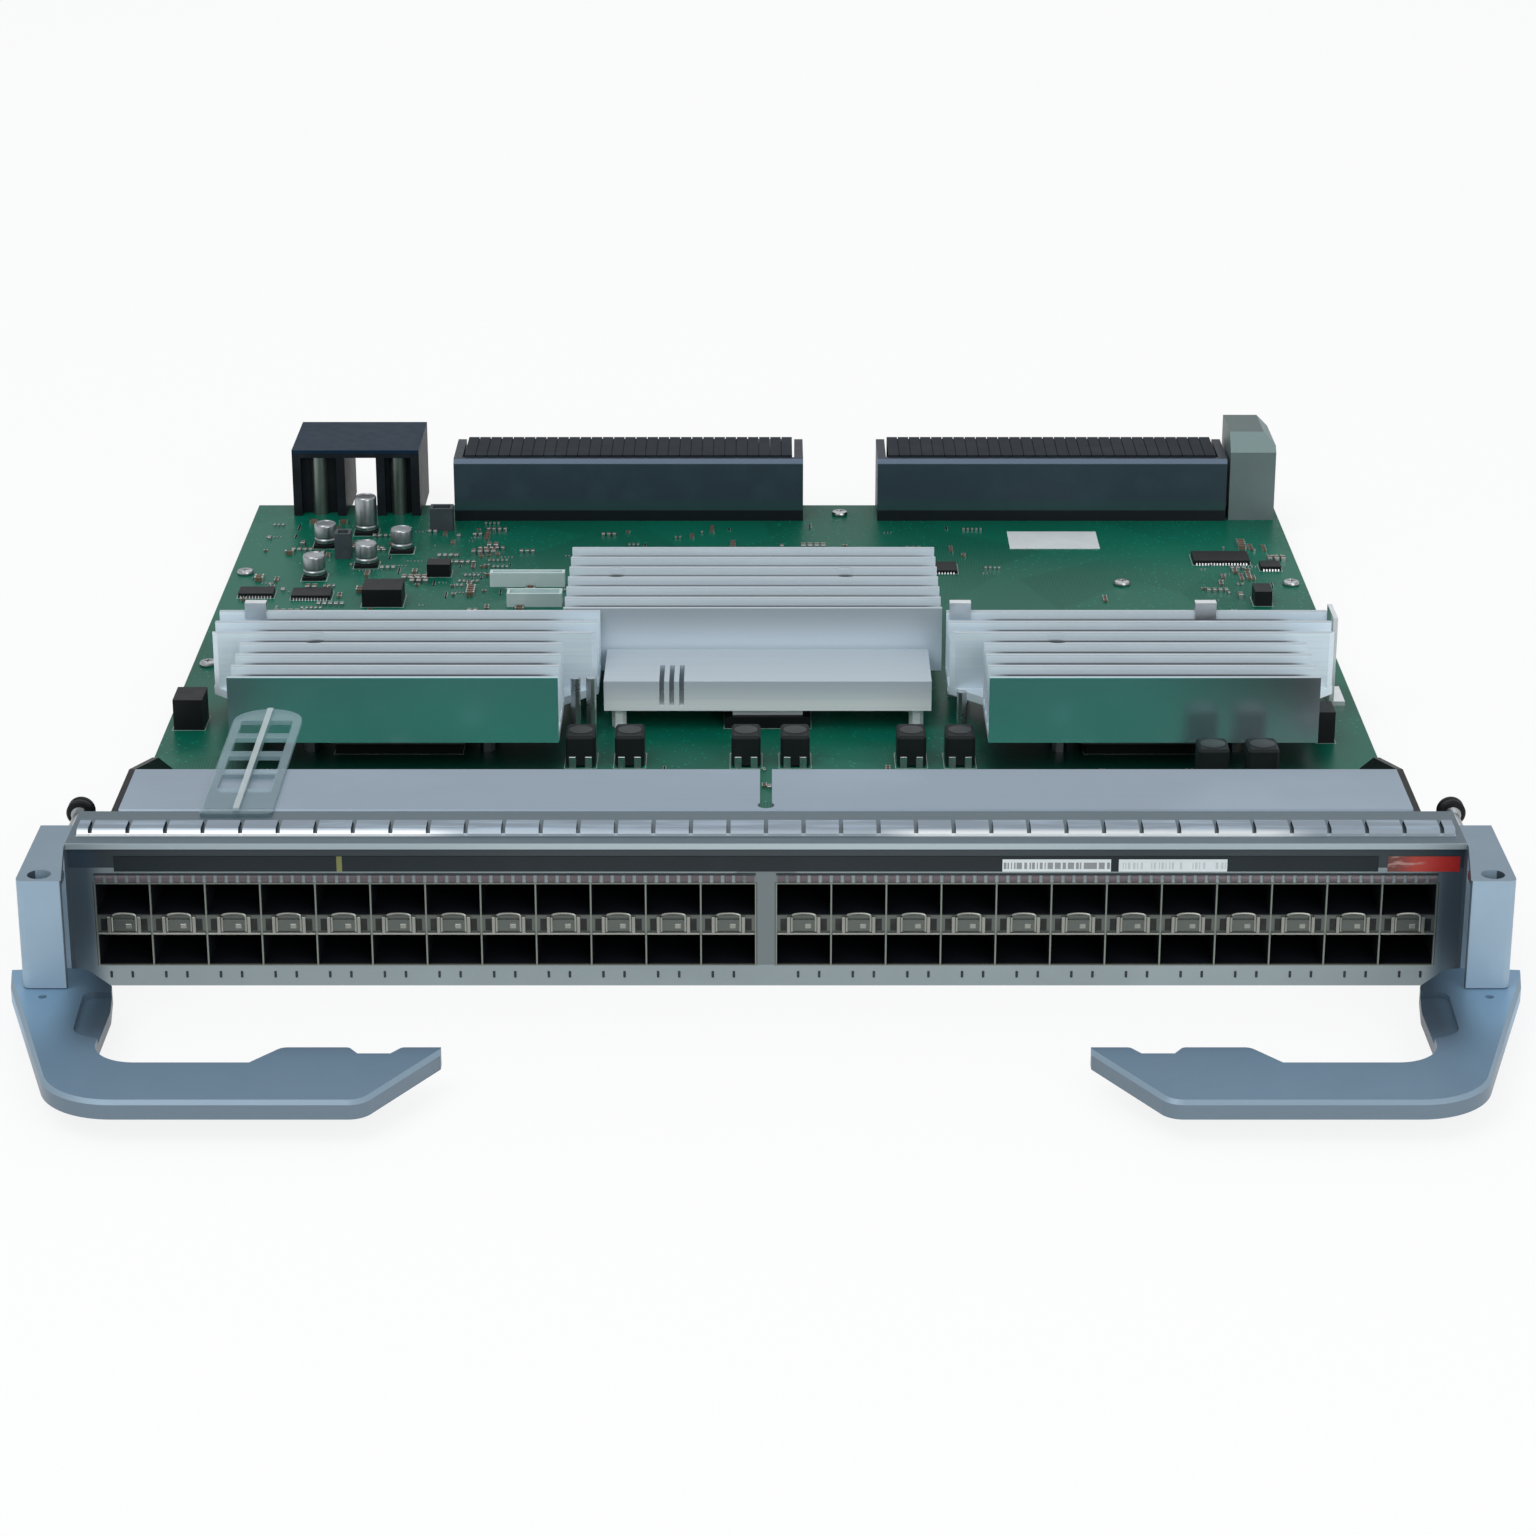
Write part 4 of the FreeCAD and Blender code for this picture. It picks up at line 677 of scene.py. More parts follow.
def bright_finish(name, colour, rough):
    """Bare bright metal with faint smears."""
    finish = Finish(name)
    smears = finish.noise(160.0, 4.0, 0.6)
    tone = finish.blend(smears.rise(0.35, 0.7), shade(colour, 0.9), colour)
    return finish.surface(Base_Color=tone, Roughness=rough + (smears - 0.5) * 0.2, Metallic=1.0)


def blade_finish():
    """Power contacts: tinned where they are soldered and gold where they mate."""
    finish = Finish("power_contacts")
    y = finish.axes()[Y]
    front = edge_of("power_blades", LOW, Y)
    mate = y.rise(front + 12 * MM, front + 14 * MM)
    tone = finish.blend(mate, (0.20, 0.24, 0.22), (0.72, 0.52, 0.22))
    smears = finish.noise(160.0, 4.0, 0.6)
    return finish.surface(Base_Color=tone, Roughness=0.34 + (smears - 0.5) * 0.2, Metallic=0.9)


def heatsink_finish(colours, node, shoulder=0.0, fade=None):
    """Extruded aluminium with faint drawn lines: the upper band of every fin carries painted light and the
    fin tops painted shade; the valleys carry painted shade, apart from the shoulders at both ends. The front
    face has a painted reflection that grows lighter towards its foot. A fade is two distances from the card's
    middle: that face is polished, with a painted green reflection of the board, up to the first one and plain
    past the second."""
    finish = Finish(node + "_anodised")
    x, y, z = finish.axes()
    low, high = corners_of(node)
    draw = drawn_lines(finish)
    # Painted light on the fins' upper bands: a brighter copy of the anodising.
    bright = worn(finish, colours.heatsink, 1.42, 1.56, 18.0)
    bright = finish.blend(draw.rise(0.35, 0.7) * 0.35, bright, shade(colours.heatsink, 1.7))
    # Painted shade on the fins' top faces.
    bright = finish.blend((z > high[Z] - 0.1 * MM) * 0.8, bright, shade(colours.heatsink, 0.85))
    front = y < low[Y] + 0.4 * MM
    # Painted reflection on the front face, lighter towards its foot.
    face = finish.blend(1 - z.rise(low[Z] + 8 * MM, high[Z]), shade(colours.heatsink, 0.70),
                        shade(colours.heatsink, 1.45))
    end = (high[X] - low[X]) / 2 - shoulder
    between_ends = 1 - (x - centre_of(low, high)[X]).size().rise(end - 6 * MM, end + 1 * MM)
    # Painted shade down in the valleys between the fins.
    depth = 1 - z.rise(high[Z] - 2.8 * MM, high[Z] - 2.1 * MM)
    valley = depth * (1 - front) * between_ends
    tone = finish.blend(valley * 0.85, finish.blend(front, bright, face), (0.06, 0.055, 0.062))
    if not fade:
        return finish.surface(Base_Color=tone, Roughness=0.36, Metallic=0.12)
    # Painted green reflection of the board on the polished, more metallic front face.
    tone = finish.blend(front * (1 - x.size().rise(*fade)), tone, (0.36, 0.86, 0.86))
    return finish.surface(Base_Color=tone, Roughness=0.34 - front * 0.12, Metallic=0.15 + front * 0.72)


def spreader_finish(colours):
    """Plain machined block: clear anodised, with painted light that makes it lighter towards its foot."""
    finish = Finish("spreader_anodised")
    z = finish.axes()[Z]
    low, high = corners_of("centre_heat_spreader")
    draw = drawn_lines(finish)
    # Painted light: a brighter copy of the anodising at the foot, the plain colour up under the fins.
    fade = z.rise(low[Z] + 5 * MM, high[Z])
    tone = finish.blend(fade, shade(colours.heatsink, 1.9), colours.heatsink)
    tone = finish.blend(draw.rise(0.35, 0.7) * 0.3, tone, shade(colours.heatsink, 1.15))
    return finish.surface(Base_Color=tone, Roughness=0.36, Metallic=0.08)


def lever_finish(colours):
    """Lever paint: upright edges are painted greyer as painted light, cut edges carry a painted highlight,
    the outer shoulder painted light and the crook by the panel painted shadow."""
    finish = Finish("lever_paint")
    x, y = finish.axes()[:2]
    rise = facing(finish, "Z")
    shoulder = x.size().rise(160 * MM, 192 * MM) * y.rise(-75 * MM, -40 * MM)
    crook = (1 - x.size().rise(167 * MM, 180 * MM)) * y.rise(-72 * MM, -46 * MM)
    tone = worn(finish, colours.lever, 0.86, 0.96, 22.0)
    # Painted light: upright faces get a greyer copy of the paint.
    tone = finish.blend(rise.size() < 0.3, tone, (0.153, 0.208, 0.261))
    # Painted light on the outer shoulder.
    tone = finish.blend(shoulder, tone, shade(colours.lever, 1.6))
    # Painted shadow in the crook by the panel.
    tone = finish.blend(crook * 0.9, tone, shade(colours.lever, 0.22))
    # Painted highlight on the cut edges.
    tone = finish.blend(between(rise, 0.45, 0.9), tone, (0.250, 0.345, 0.430))
    fine_grain(finish, 1400.0, 0.00002)
    return finish.surface(Base_Color=tone, Roughness=0.38 + (finish.noise(90.0) - 0.5) * 0.12, Metallic=0.2,
                          Specular_IOR_Level=0.35)


def label_finish(name, colour, rough):
    """Plain film."""
    finish = Finish(name)
    tone = worn(finish, colour, 0.93, 1.0, 80.0)
    return finish.surface(Base_Color=tone, Roughness=rough, Coat_Weight=0.2, Coat_Roughness=0.25)


def barred_finish(colour):
    """White film with a band of plain upright bars of uneven width, close on the left label and faint on the
    right one."""
    finish = Finish("barred_film")
    x, _, z = finish.axes()
    low, high = corners_of("white_labels")
    right = x > centre_of(low, high)[X]
    bars = (finish.noise((1500.0, 0.0, 0.0), 0.0, 0.5) > 0.47 + right * 0.04) * (1 - right * 0.6)
    band = between(z, low[Z] + 0.7 * MM, high[Z] - 0.9 * MM)
    tone = worn(finish, colour, 0.93, 1.0, 80.0)
    tone = finish.blend(bars * band * 0.75, tone, (0.10, 0.11, 0.12))
    return finish.surface(Base_Color=tone, Roughness=0.45, Coat_Weight=0.2, Coat_Roughness=0.25)


def strip_finish(colours):
    """Dark marking film, left bare, with one small lamp window near its left end."""
    finish = Finish("strip_film")
    x = finish.axes()[X]
    tone = worn(finish, colours.strip, 0.9, 1.15, 30.0)
    tone = finish.blend(between(x, -110.8 * MM, -109.4 * MM), tone, (0.20, 0.21, 0.08))
    return finish.surface(Base_Color=tone, Roughness=0.4, Specular_IOR_Level=0.3)


def red_label_finish(colours):
    """Red film that is paler and scuffed towards the middle of the card."""
    finish = Finish("red_film")
    x = finish.axes()[X]
    fade = x.rise(edge_of("red_end_label", LOW, X), edge_of("red_end_label", HIGH, X))
    patch = finish.noise((120.0, 120.0, 500.0), 3.0, 0.6).rise(0.5, 0.62) * (1 - fade.rise(0.35, 0.6))
    tone = finish.ramp(fade, ((0.0, (0.16, 0.05, 0.04)), (0.3, (0.50, 0.06, 0.04)), (1.0, colours.red_label)))
    tone = finish.blend(patch * 0.6, tone, (0.62, 0.40, 0.36))
    return finish.surface(Base_Color=tone, Roughness=0.4, Coat_Weight=0.2, Coat_Roughness=0.15)


def header_finish():
    """Board headers: slate ones at the left and milky ones towards the middle."""
    finish = Finish("header_moulding")
    x = finish.axes()[X]
    slate = wear(finish, (0.045, 0.060, 0.070), (0.075, 0.095, 0.105), 120.0)
    milky = wear(finish, (0.56, 0.70, 0.70), (0.66, 0.78, 0.78), 120.0)
    tone = finish.blend(x > -100 * MM, slate, milky)
    return finish.surface(Base_Color=tone, Roughness=0.5, Specular_IOR_Level=0.3)


def tag_finish(colours):
    """Clear tinted moulding whose raised frame carries a painted highlight and is more opaque than its thin
    web.
    """
    finish = Finish("tag_clear")
    z = finish.axes()[Z]
    rib = z.rise(edge_of("pull_tag", LOW, Z) + 1.1 * MM, edge_of("pull_tag", HIGH, Z) - 0.2 * MM)
    web = worn(finish, colours.tag, 0.8, 1.0, 90.0)
    # Painted highlight on the raised frame.
    tone = finish.blend(rib, web, (0.55, 0.66, 0.68))
    return finish.surface(Base_Color=tone, Roughness=0.16, Alpha=0.32 + rib * 0.3, Coat_Weight=0.3,
                          Coat_Roughness=0.1)


def pipe_finish():
    """Unlit light pipe: dark smoky acrylic."""
    finish = Finish("pipe_smoky")
    tone = wear(finish, (0.010, 0.012, 0.012), (0.020, 0.024, 0.022), 300.0)
    return finish.surface(Base_Color=tone, Roughness=0.25, Specular_IOR_Level=0.3)


def make_finishes(colours):
    """Every finish by name."""
    return {
        "board": board_finish(colours),
        "cover": sheet_finish("cover_plated", colours.cover, 0.42, X, 0.5),
        "panel": panel_finish(colours),
        "tray": sheet_finish("tray_steel", (0.36, 0.38, 0.39), 0.42, Y, 0.9),
        "cage": cage_finish("cage_plated", colours.cage),
        "bar": cage_finish("bar_plated", (0.12, 0.135, 0.125)),
        # Near-black painted shade, for the cage tabs and the springs' clip band.
        "slot": plastic_finish("tab_shadowed", (0.030, 0.040, 0.044), 0.6),
        "slate": plastic_finish("slate_top", (0.045, 0.050, 0.052), 0.5),
        "latch": bright_finish("latch_spring", (0.33, 0.34, 0.31), 0.36),
        "spring": sheet_finish("spring_plated", (0.125, 0.105, 0.115), 0.4, X, 0.4),
        "finger": finger_finish(colours),
        "bracket": painted_finish("bracket_paint", colours.bracket, inner=0.9),
        "lever": lever_finish(colours),
        "left_sink": heatsink_finish(colours, "left_heatsink", 11 * MM, (135 * MM, 180 * MM)),
        "right_sink": heatsink_finish(colours, "right_heatsink", 11 * MM, (100 * MM, 165 * MM)),
        "centre_sink": heatsink_finish(colours, "centre_heatsink"),
        "spreader": spreader_finish(colours),
        "screw": bright_finish("screw_zinc", (0.50, 0.52, 0.53), 0.3),
        "tin": bright_finish("tinned_ends", (0.66, 0.68, 0.69), 0.3),
        "can": bright_finish("can_aluminium", (0.45, 0.48, 0.50), 0.32),
        "gold": bright_finish("gold_contacts", (0.72, 0.52, 0.22), 0.26),
        "blade": blade_finish(),
        "dark": connector_finish(colours, "left_backplane_housing"),
        "wafer": plastic_finish("wafer_moulding", shade(colours.dark_plastic, 0.8), 0.6, gloss=0.1),
        "power": power_finish(colours),
        "black": plastic_finish("black_moulding", (0.006, 0.007, 0.008), 0.5),
        "ceramic": plastic_finish("ceramic_body", (0.16, 0.11, 0.07), 0.5, gloss=0.4),
        "inductor": plastic_finish("inductor_moulding", (0.010, 0.014, 0.015), 0.6, 0.00004),
        "guide": painted_finish("guide_casting", (0.135, 0.185, 0.185), 0.5, 0.00005, 0.9),
        "print": plastic_finish("board_print", (0.50, 0.58, 0.54), 0.6),
        "header": header_finish(),
        "strip": strip_finish(colours),
        "white": label_finish("white_film", (0.78, 0.84, 0.86), 0.45),
        "barred": barred_finish((0.74, 0.80, 0.82)),
        "red": red_label_finish(colours),
        "tag": tag_finish(colours),
        "pipe": pipe_finish(),
        "clip": bright_finish("clip_tinned", (0.80, 0.83, 0.85), 0.35),
    }


NODE_FINISHES = {
    "front_panel": "panel", "carrier_tray": "tray", "main_board": "board", "tray_rivets": "screw",
    "board_screws": "screw", "gusset_screws": "screw", "bracket_screws": "screw", "heatsink_screws": "screw",
    "heatsink_posts": "screw", "board_posts": "tin", "cage_floors": "cage", "cage_shell": "cage",
    "cage_dividers": "cage", "cage_mid_bars": "bar", "light_pipes": "pipe", "port_connectors": "black",
    "port_emi_springs": "spring", "top_emi_fingers": "finger", "label_strip": "strip",
    "white_labels": "barred", "red_end_label": "red", "board_label": "white", "top_cover": "cover",
    "side_gusset": "black", "left_heatsink": "left_sink", "right_heatsink": "right_sink",
    "centre_heatsink": "centre_sink", "centre_heat_spreader": "spreader", "chip_packages": "black",
    "board_chips": "black", "power_inductors": "inductor", "heatsink_clips": "clip", "air_baffle": "clip",
    "backplane_housing": "dark", "backplane_wafers": "wafer", "power_connector": "power",
    "power_blades": "blade", "guide_block": "guide", "board_headers": "header",
    "storage_capacitors": "can", "pull_tag": "tag", "end_bracket": "bracket", "pivot_pin": "black",
    "lever": "lever", "captive_screw": "screw", "screw_ring": "black",
}
FINISHES = {}


def plain_name(node):
    """A node's name without its side."""
    for side, _ in SIDES:
        if node.startswith(side + "_") and node not in NODE_FINISHES:
            return node[len(side) + 1:]
    return node


def make_piece(name, surface, finishes, replaced=(), body="card"):
    """Makes the mesh, carries it with a body, and takes the slot of the node it dresses."""
    crease = math.radians(35.0)
    mesh = bpy.data.meshes.new(name)
    mesh.vertices.add(len(surface.points))
    mesh.vertices.foreach_set("co", surface.points.astype(np.float32).ravel())
    mesh.loops.add(len(surface.corners))
    mesh.loops.foreach_set("vertex_index", surface.corners.astype(np.int32))
    mesh.polygons.add(len(surface.counts))
    starts = np.concatenate(([0], np.cumsum(surface.counts)[:-1]))
    mesh.polygons.foreach_set("loop_start", starts.astype(np.int32))
    mesh.polygons.foreach_set("material_index", surface.paint.astype(np.int32))
    mesh.update(calc_edges=True)
    mesh.validate()
    mesh.polygons.foreach_set("use_smooth", np.ones(len(mesh.polygons), bool))
    mesh.set_sharp_from_angle(angle=crease)
    for finish in finishes:
        mesh.materials.append(FINISHES[finish])
    piece = bpy.data.objects.new(name, mesh)
    bpy.context.scene.collection.objects.link(piece)
    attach(piece, body)
    if replaced:
        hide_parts(*replaced)
    return piece


# ---- shapes shared by the fine pieces ----
def ring_at(radii, height):
    """Ring of points at polar radii, one for each of its evenly spaced angles."""
    radii = np.asarray(radii, float)
    angle = np.arange(len(radii)) * 2 * np.pi / len(radii)
    return np.stack([radii * np.cos(angle), radii * np.sin(angle), np.full(len(radii), height)], -1)


def cross_radii(reach, half_width, steps):
    """Outline of a cross recess: each arm is a bar, so r = the least of half width / |sin a| and the reach,
    with the angle a taken from the nearest arm."""
    angle = np.arange(steps) * 2 * np.pi / steps
    from_arm = np.abs((angle + np.pi / 4) % (np.pi / 2) - np.pi / 4)
    return np.minimum(half_width / np.maximum(np.sin(from_arm), 0.05), reach)


def pan_screw(radius, head, length):
    """Pan-head screw on Z with its seat at zero: rings go from the tip up over the head and down into a
    cross recess."""
    shank, steps = 1.5 * MM, 32
    plain = ((0.7 * shank, -length), (shank, -length + 0.3 * MM), (shank, 0.0), (0.96 * radius, 0.0),
             (radius, 0.1 * head), (radius, 0.5 * head), (0.9 * radius, 0.82 * head), (0.68 * radius, head))
    rings = [ring_at(np.full(steps, r), height) for r, height in plain]
    recess = cross_radii(0.52 * radius, 0.13 * radius, steps)
    return loft(rings + [ring_at(recess, head), ring_at(0.85 * recess, 0.45 * head)])


def screw_head_height():
    """Rise of a board screw's head over the board."""
    return edge_of("board_screws", HIGH, Z) - edge_of("main_board", HIGH, Z)


def upright_screws(node):
    """Pan-head screws at the places of the node's own plain ones."""
    head = screw_head_height()
    surfaces = []
    for low, high in zip(*solids_of(node)):
        across, _, tall = high - low
        centre = centre_of(low, high)
        screw = pan_screw(across / 2, head, tall - head)
        surfaces.append(screw.moved((centre[X], centre[Y], high[Z] - head)))
    return together(surfaces)


def bracket_screws():
    """Pan-head screws through the end brackets, on X: those of the left end and their mirror images."""
    low, high = solids_of("bracket_screws")
    head = screw_head_height()
    left = low[:, X] < 0
    surfaces = []
    for a, b in zip(low[left], high[left]):
        length, across, _ = b - a
        centre = centre_of(a, b)
        screw = pan_screw(across / 2, head, length - head).mapped(Z_TO_X)
        surfaces.append(screw.moved((b[X] - head, centre[Y], centre[Z])))
    return both_sides(together(surfaces))


def tube_ring(profile, steps):
    """Closed profile of (radius, height) pairs turned about Z, joined end to start like a tyre."""
    profile = np.asarray(list(profile) + [profile[0]], float)
    rings = np.stack([ring_at(np.full(steps, r), height) for r, height in profile])
    surface = loft(rings, caps=False)
    last = (len(profile) - 1) * steps
    return Surface(surface.points[:last], surface.corners % last, surface.counts)


def plain_boxes(low, high):
    """Boxes of six faces between low and high corners, for shapes repeated hundreds of times: a corner's
    number has one bit for each axis, X first, that says which end it takes."""
    low = np.asarray(low, float).reshape(-1, 1, 3)
    high = np.asarray(high, float).reshape(-1, 1, 3)
    bits = np.array(list(itertools.product((0, 1), repeat=3)))
    points = low + bits[None] * (high - low)
    faces = np.array((0, 1, 3, 2, 4, 6, 7, 5, 0, 4, 5, 1, 2, 3, 7, 6, 0, 2, 6, 4, 1, 5, 7, 3))
    steps = np.arange(len(points))[:, None] * len(bits)
    return Surface(points, faces[None, :] + steps, np.full(len(points) * 6, 4))


def ribbon(path, width, thick):
    """Flat strip along a path in the YZ plane: each ring is the strip's section, its thickness laid along
    the path's normal."""
    path = np.asarray(path, float)
    along = np.gradient(path, axis=0)
    along /= np.linalg.norm(along, axis=1, keepdims=True)
    normal = np.stack([-along[:, 1], along[:, 0]], -1) * thick
    rings = [[(-width / 2, *p), (-width / 2, *(p + n)), (width / 2, *(p + n)), (width / 2, *p)]
             for p, n in zip(path, normal)]
    return loft(rings)


# ---- the fine pieces ----
def end_screw():
    """Captive thumbscrew on Y: a knob with 24 flutes, r = R (1 - 0.03 (1 - cos 24 a)), a cross recess in its
    face, two collars, and a threaded tip whose radius rises and falls once for each 0.5 mm of height."""
    low, high = corners_of("right_captive_screw")
    ring_low, ring_high = corners_of("right_screw_ring")
    steps, lead, stem = 96, 0.5 * MM, 1.5 * MM
    radius = (high[X] - low[X]) / 2
    even = np.ones(steps)
    turn = np.arange(steps) / steps
    flutes = 1 - 0.03 * (1 - np.cos(24 * turn * 2 * np.pi))
    recess = cross_radii(0.55 * radius, 0.15 * radius, steps)
    start, tip = -high[Y], -low[Y]
    outlines = [(0.7 * stem * even, start)]
    for rise in np.arange(0.0, 2.0 * MM, 0.1 * MM):
        wave = np.abs(((rise / lead - turn) % 1.0) - 0.5) * 2
        outlines.append((stem * (0.86 + 0.12 * wave), start + 0.3 * MM + rise))
    for back, front in ((ring_high[Y] + 0.85 * MM, ring_high[Y] + 0.06 * MM),
                        (ring_low[Y] - 0.06 * MM, ring_low[Y] - 0.85 * MM)):
        outlines += [(stem * even, -back), (1.5 * stem * even, -back), (1.5 * stem * even, -front),
                     (stem * even, -front)]
    seat = tip - 6.0 * MM
    plain, fluted = radius * even, radius * flutes
    outlines += [(stem * even, seat), (0.82 * plain, seat), (0.82 * plain, seat + 0.5 * MM),
                 (0.97 * fluted, seat + 0.7 * MM), (fluted, seat + 1.1 * MM), (fluted, tip - 0.9 * MM),
                 (0.95 * fluted, tip - 0.5 * MM), (0.86 * plain, tip - 0.4 * MM), (0.8 * plain, tip),
                 (recess, tip), (0.85 * recess, tip - 1.2 * MM)]
    centre = centre_of(low, high)
    screw = loft([ring_at(radii, height) for radii, height in outlines])
    return screw.mapped(Z_TO_MINUS_Y).moved((centre[X], 0.0, centre[Z]))


def end_ring():
    """Retaining ring on Y: rounded tyre with a shallow groove round its middle."""
    low, high = corners_of("right_screw_ring")
    radius, half = (high[X] - low[X]) / 2, (high[Y] - low[Y]) / 2
    inner, cut = 1.55 * MM, 0.5 * MM
    groove = radius - 0.4 * MM
    profile = ((inner, -half), (radius - cut, -half), (radius, -half + cut), (radius, -0.5 * MM),
               (groove, -0.3 * MM), (groove, 0.3 * MM), (radius, 0.5 * MM), (radius, half - cut),
               (radius - cut, half), (inner, half))
    return tube_ring(profile, 48).mapped(Z_TO_MINUS_Y).moved(centre_of(low, high))


def dome_rivets():
    """Rivets set through the tray: domed head below and a closed, dished tail above."""
    shank, head = 1.5 * MM, 0.6 * MM
    surfaces = []
    for low, high in zip(*solids_of("tray_rivets")):
        radius, tall = (high[X] - low[X]) / 2, high[Z] - low[Z]
        centre = centre_of(low, high)
        angles = np.linspace(0.0, np.pi / 2, 6)[1:]
        dome = [(radius * np.sin(a), head * (1 - np.cos(a))) for a in angles]
        tail = [(shank, head), (shank, tall - head), (radius, tall - head), (radius, tall - 0.25 * MM),
                (0.85 * radius, tall), (0.35 * radius, tall), (0.3 * radius, tall - 0.5 * MM)]
        surfaces.append(turned(dome + tail, 32).moved((centre[X], centre[Y], low[Z])))
    return together(surfaces)


def port_springs(low, high, per_port, pitch):
    """Ground springs over the ports: leaves bowed forwards, y = -rise sin(pi t), under a flat clip band."""
    thick, lap = 0.12 * MM, 0.5 * MM
    count = int(round((high[X] - low[X]) / pitch)) * per_port
    step = (high[X] - low[X]) / count
    t = np.linspace(0.0, 1.0, 8)
    base = high[Y] - thick
    rise = base - low[Y] - 0.02 * MM
    path = np.stack([base - rise * np.sin(np.pi * t), high[Z] - lap - t * (high[Z] - low[Z] - lap)], -1)
    leaf = ribbon(path, 0.68 * step, thick)
    # The clip band takes the near-black tab_shadowed finish: painted shade.
    band = cut_boxes((low[X], high[Y] - 0.25 * MM, high[Z] - 0.55 * MM), high, 0.05 * MM)
    return together([stamped(leaf, along_x(low[X] + (np.arange(count) + 0.5) * step)), band.painted(1)])


def latch_fronts(side):
    """Latch springs on the bars between the two rows: an arched wire-like rim over each, a dark plate of
    painted shade where the recess behind the latch lies in shade, a small peg right of its middle, a post at
    each side, and a bright rolled edge along the bar's foot."""
    low, high = solids_of(side + "_cage_mid_bars")
    face, foot, top = low[0, Y], low[0, Z], high[0, Z]
    half, front = 3.1 * MM, face + 0.1 * MM
    angle = np.linspace(0.0, np.pi, 13)
    arch = np.stack([half * np.cos(angle), np.full(len(angle), front),
                     top - 0.4 * MM + 1.1 * MM * np.sqrt(np.sin(angle))], -1)
    end = np.array(((half, front, foot + 0.9 * MM),))
    rim = swept(np.concatenate([end, arch, end * (-1, 1, 1)]), 0.28 * MM, 6)
    # Painted shade: a dark plate where the recess behind the latch lies in shade.
    plate = cut_boxes((-2.5 * MM, face - 0.02 * MM, foot + 1.0 * MM),
                      (2.5 * MM, face + 0.35 * MM, top - 1.1 * MM), 0.12 * MM)
    peg = cut_boxes((0.3 * MM, face - 0.14 * MM, foot + 1.7 * MM),
                    (2.0 * MM, face + 0.2 * MM, foot + 3.1 * MM), 0.15 * MM)
    posts = cut_boxes([(x, face - 0.1 * MM, foot + 0.5 * MM) for x in (-4.35 * MM, 3.45 * MM)],
                      [(x, face + 0.2 * MM, top - 0.3 * MM) for x in (-3.45 * MM, 4.35 * MM)], 0.1 * MM)
    hem = cut_boxes([(x + 0.1 * MM, face - 0.14 * MM, foot + 0.02 * MM) for x in low[:, X]],
                    [(x - 0.1 * MM, face + 0.2 * MM, foot + 0.55 * MM) for x in high[:, X]], 0.08 * MM)
    latch = together([rim, plate.painted(1), peg, posts])
    return together([stamped(latch, along_x(centre_of(low, high)[:, X])), hem])


def port_contacts(side):
    """Edge contacts in every port: two rows of ten gold fingers in the connector's mouth."""
    low, high = solids_of(side + "_port_connectors")
    sills = (edge_of("cage_floors", HIGH, Z), edge_of(side + "_cage_mid_bars", HIGH, Z))
    fingers, pitch, rows = 10, 0.8 * MM, (3.1 * MM, 5.3 * MM)
    shifts = (np.arange(fingers) - (fingers - 1) / 2) * pitch
    places = [(centre + shift, 0.0, sill + row) for centre in centre_of(low, high)[:, X]
              for sill in sills for row in rows for shift in shifts]
    front = low[0, Y]
    finger = plain_boxes((-0.17 * MM, front - 0.9 * MM, -0.12 * MM), (0.17 * MM, front + 1.5 * MM, 0.12 * MM))
    return stamped(finger, places)


def cage_tabs():
    """Cage tabs through the panel's lower band: two for each column, bent flat against its face."""
    face = edge_of("right_cage_shell", LOW, Y)
    columns = centre_of(*solids_of("right_cage_mid_bars"))[:, X]
    spots = np.concatenate([columns - 1.4 * MM, columns + 4.1 * MM])
    tab = cut_boxes((-0.32 * MM, face - 0.22 * MM, 2.3 * MM), (0.32 * MM, face + 0.3 * MM, 4.1 * MM),
                    0.1 * MM)
    return both_sides(stamped(tab, along_x(spots)))


def cage_vents():
    """Round air holes across the cages' rear walls, shown by their dark rolled rims and a black disc of
    painted shade in each.
    """
    low, high = corners_of("right_cage_shell")
    inner, outer, steps = 0.75 * MM, 1.0 * MM, 10
    rim = ((inner, -0.05 * MM), (outer, -0.05 * MM), (outer, 0.12 * MM), (inner, 0.12 * MM))
    # Painted shade: a black disc fills each hole.
    disc = turned(((inner, -0.03 * MM), (inner, 0.04 * MM)), steps).painted(1)
    hole = together([tube_ring(rim, steps), disc]).mapped(Z_TO_Y)
    xs = np.arange(low[X] + 4 * MM, high[X] - 3 * MM, 4.75 * MM)
    zs = np.arange(low[Z] + 4 * MM, high[Z] - 3 * MM, 4.0 * MM)
    return both_sides(stamped(hole, [(x, high[Y], z) for x in xs for z in zs]))


